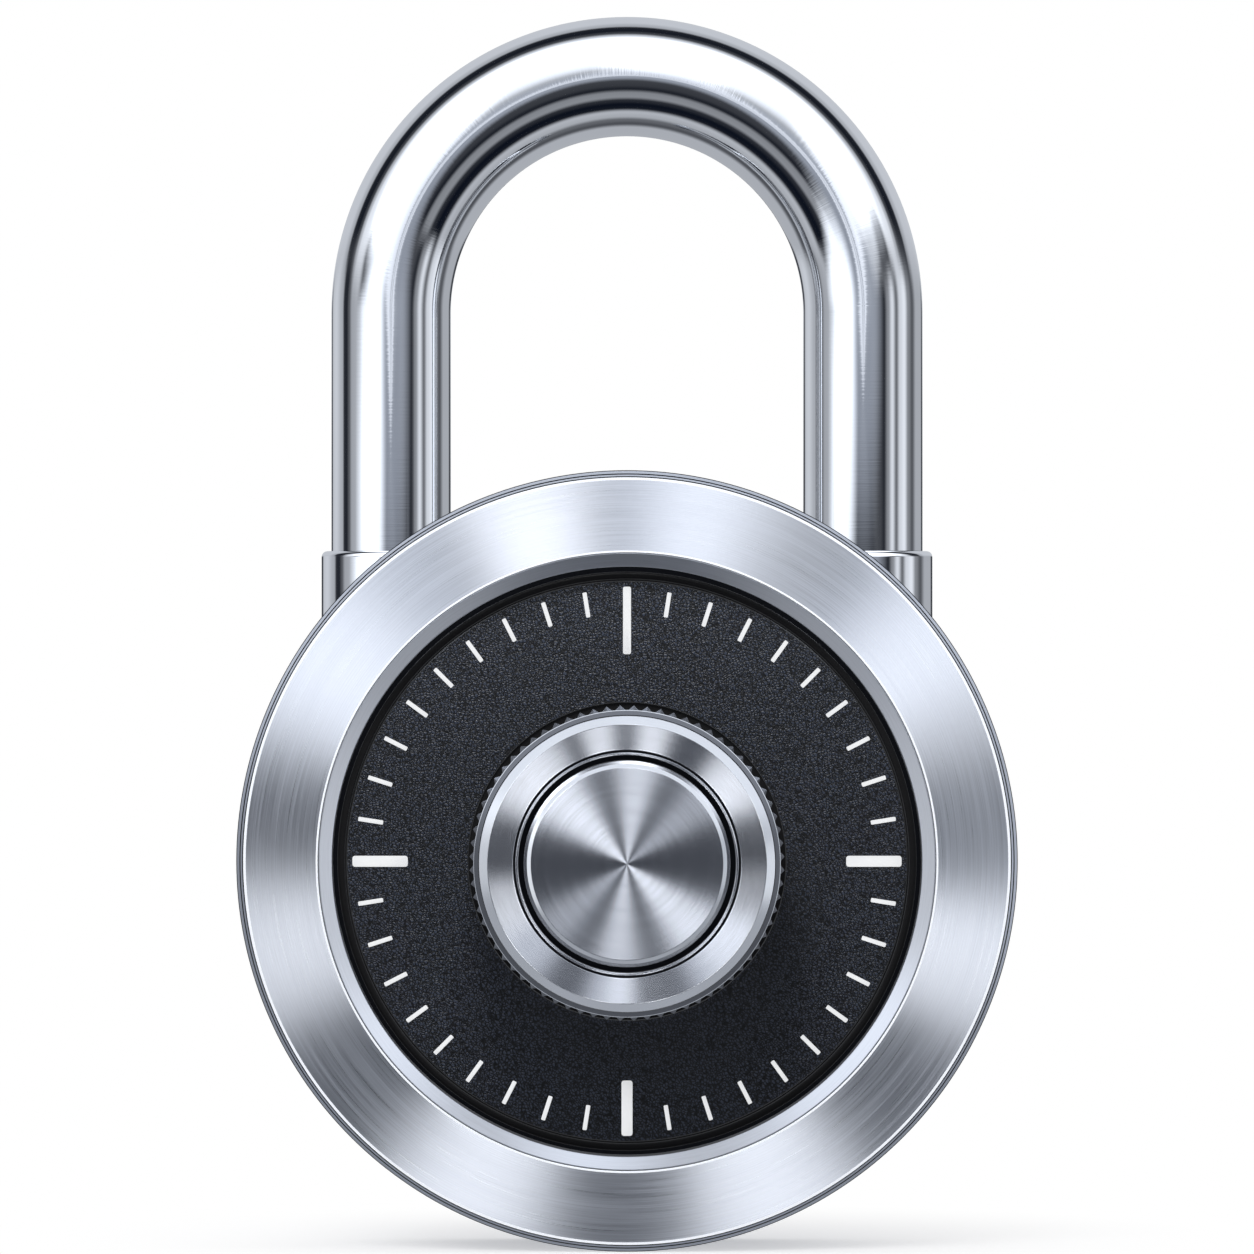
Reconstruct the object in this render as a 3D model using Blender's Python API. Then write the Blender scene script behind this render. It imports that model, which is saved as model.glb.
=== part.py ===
"""Combination padlock with a turning dial, built as separate pieces.

Units are metres, +Z is up and the dial faces -Y. The origin is the centre of the back face, on the
dial's axis. A depth is measured from the back face towards the dial, so depth d lies at y = -d.
"""

import math

import bmesh
import bpy
from mathutils import Matrix, Vector

MM = 0.001

# Clearances between pieces.
SEAT_GAP = 0.3 * MM
FIT_GAP = 0.15 * MM
RUN_GAP = 0.2 * MM

# Case, back cover and front bezel.
CASE_RADIUS = 23.3 * MM
CASE_WALL = 1.5 * MM
CASE_REAR_ROUND = 1.2 * MM
CASE_SET_BACK = 0.3 * MM
COVER_THICKNESS = 1.2 * MM
PLATE_THICKNESS = 1.0 * MM
RIM_BAND = 1.5 * MM
RIM_CHAMFER = 0.35 * MM
CONE_RISE = 1.8 * MM
LIP_WIDTH = 0.95 * MM
LIP_DROP = 0.9 * MM

# Dial.
DIAL_RADIUS = 17.25 * MM
DIAL_THICKNESS = 1.5 * MM
DIAL_LIFT = 0.8 * MM
DIAL_BEAD = 0.4 * MM
DIAL_GROOVE = 0.25 * MM
DIAL_EDGE_CLEARANCE = 0.3 * MM

# Knob.
KNOB_RADIUS = 9.3 * MM
KNOB_HEIGHT = 6.4 * MM
KNOB_FLOOR = 2.0 * MM
KNURL_TEETH = 72
KNURL_DEPTH = 0.35 * MM
TRIM_SHOULDER = 0.45 * MM
TRIM_WIDTH = 2.1 * MM
TRIM_HEIGHT = 1.5 * MM
TRIM_BEVEL = 0.45 * MM
CAP_WALL = 1.2 * MM
CAP_CHAMFER = 0.4 * MM
CAP_SUNK = 0.2 * MM
SCREW_RADIUS = 0.85 * MM
SCREW_HEAD_RADIUS = 2.4 * MM
SCREW_HEAD_HEIGHT = 1.1 * MM

# Shackle and collars.
BAR_RADIUS = 3.6 * MM
LEG_INSET = 9.03 * MM
LOOP_CLEARANCE = 20.3 * MM
SHACKLE_LIFT = 10.5 * MM
LEG_END_CHAMFER = 0.7 * MM
TOE_CLEARANCE = 0.8 * MM
TOE_LIP = 1.5 * MM
NOTCH_HEIGHT = 2.9 * MM
NOTCH_DEPTH = 1.7 * MM
COLLAR_WALL = 0.4 * MM
COLLAR_EXPOSED = 4.32 * MM
COLLAR_SEAT = 0.7 * MM
COLLAR_ROUND = 0.38 * MM

# Chassis.
CHASSIS_WALL = 0.6 * MM
BORE_WALL = 1.0 * MM
BORE_GAP = 0.25 * MM
BORE_FLOOR = 0.6 * MM
CAVITY_GAP = 0.6 * MM

# Spindle, wheels and what carries them.
SPINDLE_RADIUS = 1.5 * MM
SPINDLE_SHOULDER = 3.0 * MM
POST_WALL = 0.7 * MM
POST_FLANGE = 1.6 * MM
POST_FLANGE_THICKNESS = 0.6 * MM
WHEEL_THICKNESS = 1.5 * MM
SPACER_THICKNESS = 0.6 * MM
SPACER_WIDTH = 1.4 * MM
GATE_WIDTH = 3.2 * MM
GATE_DEPTH = 1.8 * MM
TAB_RADIUS = 0.7 * MM
TAB_STEP_DEG = 30.0
CLIP_THICKNESS = 0.5 * MM
CLIP_WIDTH = 1.5 * MM
CLIP_GROOVE = 0.35 * MM
BUSH_WALL = 0.9 * MM
BUSH_FLANGE = 0.9 * MM
BUSH_FLANGE_THICKNESS = 0.6 * MM
WASHER_INNER = 4.2 * MM
WASHER_WIDTH = 2.6 * MM
WASHER_THICKNESS = 0.25 * MM
WASHER_WAVES = 3

# Lever, pins, spring and rivets.
LEVER_THICKNESS = 2.4 * MM
LEVER_ARM = 3.7 * MM
LEVER_DROP = 9.0 * MM
LEVER_BOSS = 1.2 * MM
LEVER_THROW_DEG = 4.0
FENCE_WIDTH = 2.8 * MM
FENCE_GAP = 0.3 * MM
FENCE_DEPTH = 2.0 * MM
NOSE_HEIGHT = 1.7 * MM
NOSE_GAP = 0.3 * MM
NECK_WIDTH = 2.0 * MM
POCKET_MARGIN = 1.0 * MM
PIVOT_RADIUS = 1.2 * MM
HEEL_PIN_RADIUS = 1.0 * MM
HEEL_PIN_BITE = 2.2 * MM
SPRING_RADIUS = 0.95 * MM
SPRING_WIRE = 0.25 * MM
SPRING_LENGTH = 4.3 * MM
SPRING_TURNS = 4
RIVET_RADIUS = 1.1 * MM
RIVET_HEAD_RADIUS = 2.2 * MM
RIVET_HEAD_HEIGHT = 0.9 * MM
RIVET_SUNK = 0.05 * MM
RIVET_EDGE = 3.5 * MM
RIVET_ANGLES_DEG = (90.0, 238.0, 302.0)

# Facets on the round pieces.
LARGE_SIDES = 64
MEDIUM_SIDES = 32
SMALL_SIDES = 22

# Radii that follow from the sizes above.
INSIDE_RADIUS = CASE_RADIUS - CASE_WALL
FILL_RADIUS = INSIDE_RADIUS - SEAT_GAP
LEG_X = CASE_RADIUS - LEG_INSET
LEG_INNER_X = LEG_X - BAR_RADIUS
BORE_RADIUS = BAR_RADIUS + BORE_GAP
COLLAR_INNER = BAR_RADIUS + RUN_GAP
COLLAR_RADIUS = COLLAR_INNER + COLLAR_WALL
COLLAR_BORE = COLLAR_RADIUS + FIT_GAP
CAVITY_RADIUS = LEG_X - BORE_RADIUS - CHASSIS_WALL
WHEEL_RADIUS = CAVITY_RADIUS - CAVITY_GAP
SPINDLE_BORE = SPINDLE_RADIUS + FIT_GAP
POST_BORE = SPINDLE_RADIUS + RUN_GAP
POST_RADIUS = POST_BORE + POST_WALL
WHEEL_BORE = POST_RADIUS + RUN_GAP
SPACER_RADIUS = WHEEL_BORE + SPACER_WIDTH
TAB_CIRCLE = (SPACER_RADIUS + WHEEL_RADIUS) / 2
BUSH_RADIUS = POST_BORE + BUSH_WALL
RIVET_CIRCLE = FILL_RADIUS - RIVET_EDGE

# Depths of the stack, from the back face forward.
COVER_FRONT = COVER_THICKNESS
CHASSIS_REAR = COVER_FRONT + SEAT_GAP
POST_REAR = CHASSIS_REAR
POST_FLANGE_FRONT = POST_REAR + POST_FLANGE_THICKNESS
WHEEL_1_REAR = POST_FLANGE_FRONT + SEAT_GAP
WHEEL_1_FRONT = WHEEL_1_REAR + WHEEL_THICKNESS
SPACER_1_REAR = WHEEL_1_FRONT + SEAT_GAP
WHEEL_2_REAR = SPACER_1_REAR + SPACER_THICKNESS + SEAT_GAP
WHEEL_2_FRONT = WHEEL_2_REAR + WHEEL_THICKNESS
SPACER_2_REAR = WHEEL_2_FRONT + SEAT_GAP
DRIVE_REAR = SPACER_2_REAR + SPACER_THICKNESS + SEAT_GAP
DRIVE_FRONT = DRIVE_REAR + WHEEL_THICKNESS
CLIP_REAR = DRIVE_FRONT + FIT_GAP
CLIP_FRONT = CLIP_REAR + CLIP_THICKNESS
BUSH_REAR = CLIP_FRONT + SEAT_GAP
BUSH_FLANGE_FRONT = BUSH_REAR + BUSH_FLANGE_THICKNESS
PACK_FRONT = BUSH_FLANGE_FRONT + SEAT_GAP
CHASSIS_LEAST = CHASSIS_REAR + 2 * (BORE_RADIUS + BORE_WALL)
PLATE_REAR = max(PACK_FRONT, CHASSIS_LEAST + SEAT_GAP)
CHASSIS_FRONT = PLATE_REAR - SEAT_GAP
PLATE_FRONT = PLATE_REAR + PLATE_THICKNESS
BUSH_FRONT = PLATE_FRONT + FIT_GAP
DIAL_REAR = PLATE_FRONT + DIAL_LIFT
DIAL_FRONT = DIAL_REAR + DIAL_THICKNESS
BEZEL_REAR = PLATE_FRONT + SEAT_GAP
CASE_FRONT = PLATE_FRONT - SEAT_GAP
RIM_REAR = CASE_FRONT + SEAT_GAP
RIM_FRONT = RIM_REAR + RIM_BAND
CONE_FRONT = RIM_FRONT + RIM_CHAMFER + CONE_RISE
LIP_REAR = CONE_FRONT - LIP_DROP
KNOB_REAR = DIAL_FRONT + SEAT_GAP
KNOB_FRONT = KNOB_REAR + KNOB_HEIGHT
KNOB_FLOOR_FRONT = KNOB_REAR + KNOB_FLOOR
SHACKLE_DEPTH = (CHASSIS_REAR + CHASSIS_FRONT) / 2
BEZEL_OPENING = DIAL_RADIUS + DIAL_EDGE_CLEARANCE

# Heights above the dial's axis.
COLLAR_X = LEG_X + COLLAR_RADIUS
COLLAR_TOP = math.sqrt(CASE_RADIUS**2 - COLLAR_X**2) + COLLAR_EXPOSED
COLLAR_BOTTOM = COLLAR_TOP - COLLAR_EXPOSED - COLLAR_SEAT
COLLAR_SHOULDER = COLLAR_BOTTOM - SEAT_GAP
ARCH_Z = CASE_RADIUS + LOOP_CLEARANCE - LEG_INNER_X
TOE_Z = COLLAR_TOP - SHACKLE_LIFT + TOE_CLEARANCE
NOTCH_Z = TOE_Z + TOE_LIP
HEEL_BORE_Z = -math.sqrt((FILL_RADIUS - CHASSIS_WALL) ** 2 - (LEG_X + BORE_RADIUS) ** 2)
HEEL_Z = HEEL_BORE_Z + BORE_FLOOR
HEEL_SLOT_Z = HEEL_Z + TOE_LIP
HEEL_SLOT_TOP = HEEL_SLOT_Z + SHACKLE_LIFT + 2 * HEEL_PIN_RADIUS + 2 * SEAT_GAP
HEEL_PIN_Z = HEEL_SLOT_TOP - SEAT_GAP - HEEL_PIN_RADIUS
HEEL_PIN_X = -LEG_INNER_X - HEEL_PIN_BITE + HEEL_PIN_RADIUS

# Lever: its fence stands off the wheel rims and its nose off the toe leg.
FENCE_X = WHEEL_RADIUS + FENCE_GAP
PIVOT_X = FENCE_X + LEVER_ARM
PIVOT_Z = -LEVER_DROP
BOSS_RADIUS = PIVOT_RADIUS + RUN_GAP + LEVER_BOSS
NOSE_Z = NOTCH_Z + SEAT_GAP
NOSE_TOP = NOSE_Z + NOSE_HEIGHT
NOSE_X = LEG_INNER_X - NOSE_GAP
NOSE_THROW = math.tan(math.radians(LEVER_THROW_DEG)) * (NOSE_TOP - PIVOT_Z)
NECK_X = NOSE_X - NOSE_THROW
NECK_INNER_X = NECK_X - NECK_WIDTH
NECK_RISE = math.tan(math.radians(LEVER_THROW_DEG)) * (PIVOT_X - NECK_INNER_X)
SPRING_X = NECK_INNER_X - SEAT_GAP - SPRING_LENGTH
SPRING_Z = (NOSE_Z + NOSE_TOP) / 2


def clear_scene():
    for obj in list(bpy.data.objects):
        bpy.data.objects.remove(obj, do_unlink=True)


def finish(name, color, roughness, metallic):
    """A plain material for the pieces of one finish."""
    material = bpy.data.materials.new(name)
    material.use_nodes = True
    shader = material.node_tree.nodes["Principled BSDF"]
    shader.inputs["Base Color"].default_value = (*color, 1.0)
    shader.inputs["Roughness"].default_value = roughness
    shader.inputs["Metallic"].default_value = metallic
    material.diffuse_color = (*color, 1.0)
    return material


def axis_empty(name, location):
    """The empty on a joint's axis that carries the pieces moving with it."""
    empty = bpy.data.objects.new(name, None)
    empty.location = location
    bpy.context.scene.collection.objects.link(empty)
    return empty


def add_mesh(name, bm, location=(0, 0, 0)):
    """Turns a closed bmesh into an object, with its sharp edges kept."""
    bmesh.ops.remove_doubles(bm, verts=bm.verts, dist=1e-7)
    bmesh.ops.recalc_face_normals(bm, faces=bm.faces)
    mesh = bpy.data.meshes.new(name)
    bm.to_mesh(mesh)
    bm.free()
    mesh.shade_smooth()
    mesh.set_sharp_from_angle(angle=math.radians(28))
    obj = bpy.data.objects.new(name, mesh)
    obj.location = location
    bpy.context.scene.collection.objects.link(obj)
    return obj


def arc(center, radius, start_deg, end_deg, steps):
    """Points of a round on a profile; 0 degrees points outward and 90 along the axis."""
    points = []
    for i in range(steps + 1):
        angle = math.radians(start_deg + (end_deg - start_deg) * i / steps)
        points.append((center[0] + radius * math.cos(angle), center[1] + radius * math.sin(angle)))
    return points


def turned(name, profile, sides, location=(0, 0, 0), upright=False):
    """A solid of revolution. Its profile lists (radius, distance along the axis).

    The axis runs forward through the dial, or upward where upright is set. A profile that starts and
    ends on the axis makes a solid piece and any other profile is closed to make a ring.
    """
    bm = bmesh.new()
    along = Vector((0, 0, 1)) if upright else Vector((0, -1, 0))
    verts = [bm.verts.new(Vector((radius, 0, 0)) + along * distance) for radius, distance in profile]
    edges = [bm.edges.new(pair) for pair in zip(verts, verts[1:])]
    if profile[0][0] > 0:
        edges.append(bm.edges.new((verts[-1], verts[0])))
    bmesh.ops.spin(
        bm, geom=verts + edges, cent=(0, 0, 0), axis=along, angle=math.tau, steps=sides, use_merge=True
    )
    bmesh.ops.remove_doubles(bm, verts=bm.verts, dist=1e-7)
    poles = [vert for vert in bm.verts if vert.co.cross(along).length < 1e-7]
    bmesh.ops.dissolve_verts(bm, verts=poles)
    return add_mesh(name, bm, location)


def rod(name, radius, start, end, sides, location=(0, 0, 0), upright=False):
    profile = [(0, start), (radius, start), (radius, end), (0, end)]
    return turned(name, profile, sides, location, upright)


def ring(name, inner, outer, start, end, sides, location=(0, 0, 0)):
    profile = [(inner, start), (outer, start), (outer, end), (inner, end)]
    return turned(name, profile, sides, location)


def prism(name, outline, rear, front, location=(0, 0, 0)):
    """An outline of (x, z) points, extruded from one depth to another."""
    bm = bmesh.new()
    face = bm.faces.new([bm.verts.new((x, -rear, z)) for x, z in outline])
    made = bmesh.ops.extrude_face_region(bm, geom=[face])["geom"]
    moved = [item for item in made if isinstance(item, bmesh.types.BMVert)]
    bmesh.ops.translate(bm, verts=moved, vec=(0, rear - front, 0))
    return add_mesh(name, bm, location)


def block(name, x_range, z_range, rear, front, location=(0, 0, 0)):
    (x0, x1), (z0, z1) = x_range, z_range
    return prism(name, [(x0, z0), (x1, z0), (x1, z1), (x0, z1)], rear, front, location)


def combine(piece, operation, tools):
    """Cuts the tools from a piece or adds them to it; the tools stay hidden."""
    for tool in tools:
        modifier = piece.modifiers.new(tool.name, "BOOLEAN")
        modifier.operation = operation
        modifier.object = tool
        modifier.solver = "EXACT"
        tool.hide_render = True
        tool.display_type = "WIRE"


def cut(piece, *tools):
    combine(piece, "DIFFERENCE", tools)


def unite(piece, *tools):
    combine(piece, "UNION", tools)


def rivet_places():
    angles = [math.radians(angle) for angle in RIVET_ANGLES_DEG]
    return [(RIVET_CIRCLE * math.cos(a), 0, RIVET_CIRCLE * math.sin(a)) for a in angles]


def make_case():
    """The tube of the case, with a bore for each collar."""
    rear = CASE_SET_BACK
    profile = [(INSIDE_RADIUS, rear)]
    profile += arc((CASE_RADIUS - CASE_REAR_ROUND, rear + CASE_REAR_ROUND), CASE_REAR_ROUND, -90, 0, 4)
    profile += [(CASE_RADIUS, CASE_FRONT), (INSIDE_RADIUS, CASE_FRONT)]
    case = turned("case_shell", profile, LARGE_SIDES)
    for side in (-1, 1):
        place = (side * LEG_X, -SHACKLE_DEPTH, 0)
        cut(case, rod(f"case_bore_{side}", COLLAR_BORE, 0, CASE_RADIUS * 1.2, SMALL_SIDES, place, True))
    return case


def make_back_cover():
    cover = rod("back_cover", FILL_RADIUS, 0, COVER_FRONT, LARGE_SIDES)
    for i, place in enumerate(rivet_places()):
        cone = RIVET_HEAD_RADIUS + FIT_GAP
        profile = [(0, -SEAT_GAP), (cone, -SEAT_GAP), (cone, RIVET_SUNK)]
        profile += [(RIVET_RADIUS + FIT_GAP, RIVET_HEAD_HEIGHT), (RIVET_RADIUS + FIT_GAP, CHASSIS_REAR)]
        profile += [(0, CHASSIS_REAR)]
        cut(cover, turned(f"cover_sink_{i}", profile, SMALL_SIDES, place))
    return cover


def make_rivets():
    rivets = []
    for i, place in enumerate(rivet_places()):
        profile = [(0, RIVET_SUNK), (RIVET_HEAD_RADIUS, RIVET_SUNK), (RIVET_RADIUS, RIVET_HEAD_HEIGHT)]
        profile += [(RIVET_RADIUS, PLATE_FRONT - RIVET_SUNK), (0, PLATE_FRONT - RIVET_SUNK)]
        rivets.append(turned(f"case_rivet_{i + 1}", profile, SMALL_SIDES, place))
    return rivets


def make_bezel():
    """Cone-faced ring that closes the case round the dial, with a lip falling to the dial."""
    edge = CASE_RADIUS - RIM_CHAMFER
    crest = BEZEL_OPENING + LIP_WIDTH
    profile = [(FILL_RADIUS, RIM_REAR), (CASE_RADIUS, RIM_REAR), (CASE_RADIUS, RIM_FRONT)]
    profile += [(edge, RIM_FRONT + RIM_CHAMFER), (crest, CONE_FRONT), (BEZEL_OPENING, LIP_REAR)]
    profile += [(BEZEL_OPENING, BEZEL_REAR), (FILL_RADIUS, BEZEL_REAR)]
    return turned("front_bezel", profile, LARGE_SIDES)


def make_front_plate():
    plate = ring("front_plate", BUSH_RADIUS + FIT_GAP, FILL_RADIUS, PLATE_REAR, PLATE_FRONT, LARGE_SIDES)
    for i, place in enumerate(rivet_places()):
        hole = RIVET_RADIUS + FIT_GAP
        cut(plate, rod(f"plate_hole_{i}", hole, CHASSIS_FRONT, DIAL_REAR, SMALL_SIDES, place))
    return plate


def pocket_outline():
    """The room the lever swings in, with its spring's seat at the upper left."""
    gap = POCKET_MARGIN
    spring_wall = SPRING_X - SEAT_GAP
    spring_low = SPRING_Z - SPRING_RADIUS - SPRING_WIRE - SEAT_GAP
    top = NOSE_TOP + NECK_RISE + SEAT_GAP
    boss = BOSS_RADIUS + gap
    low = PIVOT_Z - BOSS_RADIUS - SEAT_GAP
    return [
        (spring_wall, top),
        (LEG_INNER_X + SEAT_GAP, top),
        (LEG_INNER_X + SEAT_GAP, TOE_Z),
        (NECK_X + NECK_WIDTH + NOSE_THROW + SEAT_GAP, TOE_Z - NECK_WIDTH),
        (PIVOT_X + gap, (TOE_Z - NECK_WIDTH) / 2),
        (PIVOT_X + boss, PIVOT_Z + BOSS_RADIUS),
        (PIVOT_X + boss, PIVOT_Z - BOSS_RADIUS / 2),
        (PIVOT_X + BOSS_RADIUS / 2, low),
        (PIVOT_X - BOSS_RADIUS / 2, low),
        (PIVOT_X - boss, PIVOT_Z - BOSS_RADIUS / 2),
        (PIVOT_X - boss, PIVOT_Z + BOSS_RADIUS),
        (0, 0),
        (spring_wall, spring_low),
    ]


def make_chassis():
    """Inner body: bores for both legs, a round hollow for the wheels and a pocket for the lever."""
    chassis = rod("chassis", FILL_RADIUS, CHASSIS_REAR, CHASSIS_FRONT, LARGE_SIDES)
    out, rear, front = 2 * CASE_RADIUS, COVER_FRONT, PLATE_REAR
    tools = [
        rod("chassis_hollow", CAVITY_RADIUS, rear, front, MEDIUM_SIDES),
        prism("chassis_pocket", pocket_outline(), rear, front),
    ]
    for side, bottom in ((-1, HEEL_BORE_Z), (1, TOE_Z - BORE_FLOOR)):
        place = (side * LEG_X, -SHACKLE_DEPTH, 0)
        profile = [(0, bottom), (BORE_RADIUS, bottom), (BORE_RADIUS, COLLAR_SHOULDER)]
        profile += [(COLLAR_BORE, COLLAR_SHOULDER), (COLLAR_BORE, out), (0, out)]
        tools.append(turned(f"leg_bore_{side}", profile, SMALL_SIDES, place, True))
    for i, place in enumerate(rivet_places()):
        tools.append(rod(f"chassis_hole_{i}", RIVET_RADIUS + FIT_GAP, rear, front, SMALL_SIDES, place))
    pin_place = (HEEL_PIN_X, 0, HEEL_PIN_Z)
    tools.append(rod("heel_pin_hole", HEEL_PIN_RADIUS + FIT_GAP, rear, front, SMALL_SIDES, pin_place))
    cut(chassis, *tools)
    return chassis


def make_collar(name, side):
    profile = [(COLLAR_INNER, COLLAR_BOTTOM), (COLLAR_RADIUS, COLLAR_BOTTOM)]
    profile += arc((COLLAR_RADIUS - COLLAR_ROUND, COLLAR_TOP - COLLAR_ROUND), COLLAR_ROUND, 0, 90, 3)
    profile += [(COLLAR_INNER, COLLAR_TOP)]
    return turned(name, profile, SMALL_SIDES, (side * LEG_X, -SHACKLE_DEPTH, 0), True)


def make_shackle():
    """Round bar bent to a U; the origin is on the heel leg. The toe has a notch and the heel a slot."""
    bm = bmesh.new()
    tip = BAR_RADIUS - LEG_END_CHAMFER
    start = Matrix.Translation((0, 0, HEEL_Z))
    loop = bmesh.ops.create_circle(bm, cap_ends=True, radius=tip, segments=SMALL_SIDES, matrix=start)
    face = loop["verts"][0].link_faces[0]

    def push(face, height, scale):
        made = bmesh.ops.extrude_discrete_faces(bm, faces=[face])["faces"][0]
        center = made.calc_center_median()
        bmesh.ops.scale(bm, verts=made.verts, vec=(scale, scale, scale), space=Matrix.Translation(-center))
        bmesh.ops.translate(bm, verts=made.verts, vec=(0, 0, height - center.z))
        return made

    base = bm.faces.new([bm.verts.new(v.co) for v in face.verts])
    face = push(face, HEEL_Z + LEG_END_CHAMFER, BAR_RADIUS / tip)
    face = push(face, ARCH_Z, 1.0)
    spun = bmesh.ops.spin(
        bm, geom=[face], cent=(LEG_X, 0, ARCH_Z), axis=(0, 1, 0), angle=math.pi, steps=SMALL_SIDES
    )
    bm.faces.remove(face)
    face = next(item for item in spun["geom_last"] if isinstance(item, bmesh.types.BMFace))
    face = push(face, TOE_Z + LEG_END_CHAMFER, 1.0)
    push(face, TOE_Z, tip / BAR_RADIUS)
    base.normal_flip()
    shackle = add_mesh("shackle", bm, (-LEG_X, -SHACKLE_DEPTH, 0))
    half = 2 * BAR_RADIUS
    rear, front = SHACKLE_DEPTH - half, SHACKLE_DEPTH + half
    notch = (LEG_INNER_X - half, LEG_INNER_X + NOTCH_DEPTH)
    slot = (-LEG_INNER_X - HEEL_PIN_BITE - SEAT_GAP, half - LEG_INNER_X)
    cut(
        shackle,
        block("toe_notch", notch, (NOTCH_Z, NOTCH_Z + NOTCH_HEIGHT), rear, front),
        block("heel_slot", slot, (HEEL_SLOT_Z, HEEL_SLOT_TOP), rear, front),
    )
    return shackle


def make_dial():
    """Dial disc with a raised bead at its rim and a fine groove inside the bead."""
    bead = DIAL_RADIUS - DIAL_BEAD
    profile = [(SPINDLE_BORE, DIAL_REAR), (DIAL_RADIUS, DIAL_REAR), (DIAL_RADIUS, DIAL_FRONT - DIAL_BEAD / 2)]
    profile += [(DIAL_RADIUS - DIAL_BEAD / 2, DIAL_FRONT), (bead, DIAL_FRONT - DIAL_BEAD / 4)]
    profile += [(bead - DIAL_GROOVE / 2, DIAL_FRONT - DIAL_GROOVE), (bead - DIAL_GROOVE, DIAL_FRONT)]
    profile += [(SPINDLE_BORE, DIAL_FRONT)]
    return turned("dial", profile, LARGE_SIDES)


def knurled_ring(bm, radius, depth, root):
    """One ring of the grip's outline, with a ridge on each tooth."""
    verts = []
    for i in range(2 * KNURL_TEETH):
        angle = math.pi * i / KNURL_TEETH
        reach = radius if i % 2 == 0 else root
        verts.append(bm.verts.new((reach * math.cos(angle), -depth, reach * math.sin(angle))))
    return verts


def make_knob_grip():
    """Knurled cup of the knob, with a rebate for the bevelled ring and a well for the cap."""
    bm = bmesh.new()
    root = KNOB_RADIUS - KNURL_DEPTH
    rings = [knurled_ring(bm, KNOB_RADIUS, depth, root) for depth in (KNOB_REAR, KNOB_FRONT)]
    count = len(rings[0])
    for i in range(count):
        j = (i + 1) % count
        bm.faces.new((rings[0][i], rings[0][j], rings[1][j], rings[1][i]))
    bm.faces.new(rings[0])
    bm.faces.new(rings[1])
    grip = add_mesh("knob_grip", bm)
    rebate = trim_outer() + FIT_GAP
    well = trim_inner() - SEAT_GAP
    out = KNOB_FRONT + TRIM_HEIGHT
    profile = [(0, KNOB_FLOOR_FRONT), (well, KNOB_FLOOR_FRONT), (well, trim_rear() - SEAT_GAP)]
    profile += [(rebate, trim_rear() - SEAT_GAP), (rebate, out), (0, out)]
    cut(
        grip,
        turned("knob_well", profile, MEDIUM_SIDES),
        rod("knob_hole", SPINDLE_BORE, DIAL_FRONT, out, SMALL_SIDES),
    )
    return grip


def trim_outer():
    return KNOB_RADIUS - KNURL_DEPTH - TRIM_SHOULDER


def trim_inner():
    return trim_outer() - TRIM_WIDTH


def trim_rear():
    return KNOB_FRONT - TRIM_HEIGHT / 2


def make_trim_ring():
    """Bevelled bright ring let into the front of the grip."""
    front = trim_rear() + TRIM_HEIGHT
    profile = [(trim_inner(), trim_rear()), (trim_outer(), trim_rear()), (trim_outer(), front - TRIM_BEVEL)]
    profile += [(trim_outer() - TRIM_BEVEL, front), (trim_inner(), front - TRIM_BEVEL / 2)]
    return turned("knob_bevel_ring", profile, LARGE_SIDES)


def make_cap():
    """Plain centre cap, hollow behind for the screw's head."""
    radius = trim_inner() - SEAT_GAP
    front = trim_rear() + TRIM_HEIGHT - CAP_SUNK
    rear = KNOB_FLOOR_FRONT + SEAT_GAP
    profile = [(0, front - CAP_WALL), (radius - CAP_WALL, front - CAP_WALL), (radius - CAP_WALL, rear)]
    profile += [(radius - SEAT_GAP, rear), (radius - SEAT_GAP, trim_rear()), (radius, trim_rear())]
    profile += [(radius, front - CAP_CHAMFER), (radius - CAP_CHAMFER, front), (0, front)]
    return turned("knob_cap", profile, MEDIUM_SIDES)


def make_spindle():
    """Shaft from the wheel post to the knob, with a shoulder behind the dial and a tapped end."""
    end = KNOB_FLOOR_FRONT - SEAT_GAP
    shoulder = (BUSH_FRONT + FIT_GAP, DIAL_REAR - FIT_GAP)
    groove = SPINDLE_RADIUS - CLIP_GROOVE
    hole = SCREW_RADIUS + FIT_GAP
    profile = [(0, POST_FLANGE_FRONT), (SPINDLE_RADIUS, POST_FLANGE_FRONT)]
    profile += [(SPINDLE_RADIUS, CLIP_REAR - FIT_GAP / 2), (groove, CLIP_REAR - FIT_GAP / 2)]
    profile += [(groove, CLIP_FRONT + FIT_GAP / 2), (SPINDLE_RADIUS, CLIP_FRONT + FIT_GAP / 2)]
    profile += [(SPINDLE_RADIUS, shoulder[0]), (SPINDLE_SHOULDER, shoulder[0]), (SPINDLE_SHOULDER, shoulder[1])]
    profile += [(SPINDLE_RADIUS, shoulder[1]), (SPINDLE_RADIUS, end), (hole, end)]
    profile += [(hole, PLATE_FRONT), (0, PLATE_FRONT)]
    return turned("dial_spindle", profile, SMALL_SIDES)


def make_knob_screw():
    head_rear = KNOB_FLOOR_FRONT + FIT_GAP
    head_front = head_rear + SCREW_HEAD_HEIGHT
    tip = PLATE_FRONT + SEAT_GAP
    profile = [(0, tip), (SCREW_RADIUS, tip), (SCREW_RADIUS, head_rear), (SCREW_HEAD_RADIUS, head_rear)]
    profile += [(SCREW_HEAD_RADIUS, head_front), (0, head_front)]
    screw = turned("knob_screw", profile, SMALL_SIDES)
    half, slot = SCREW_HEAD_RADIUS * 1.2, SCREW_RADIUS / 2
    cut(screw, block("screw_slot", (-half, half), (-slot / 2, slot / 2), head_front - slot, head_front + slot))
    return screw


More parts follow.
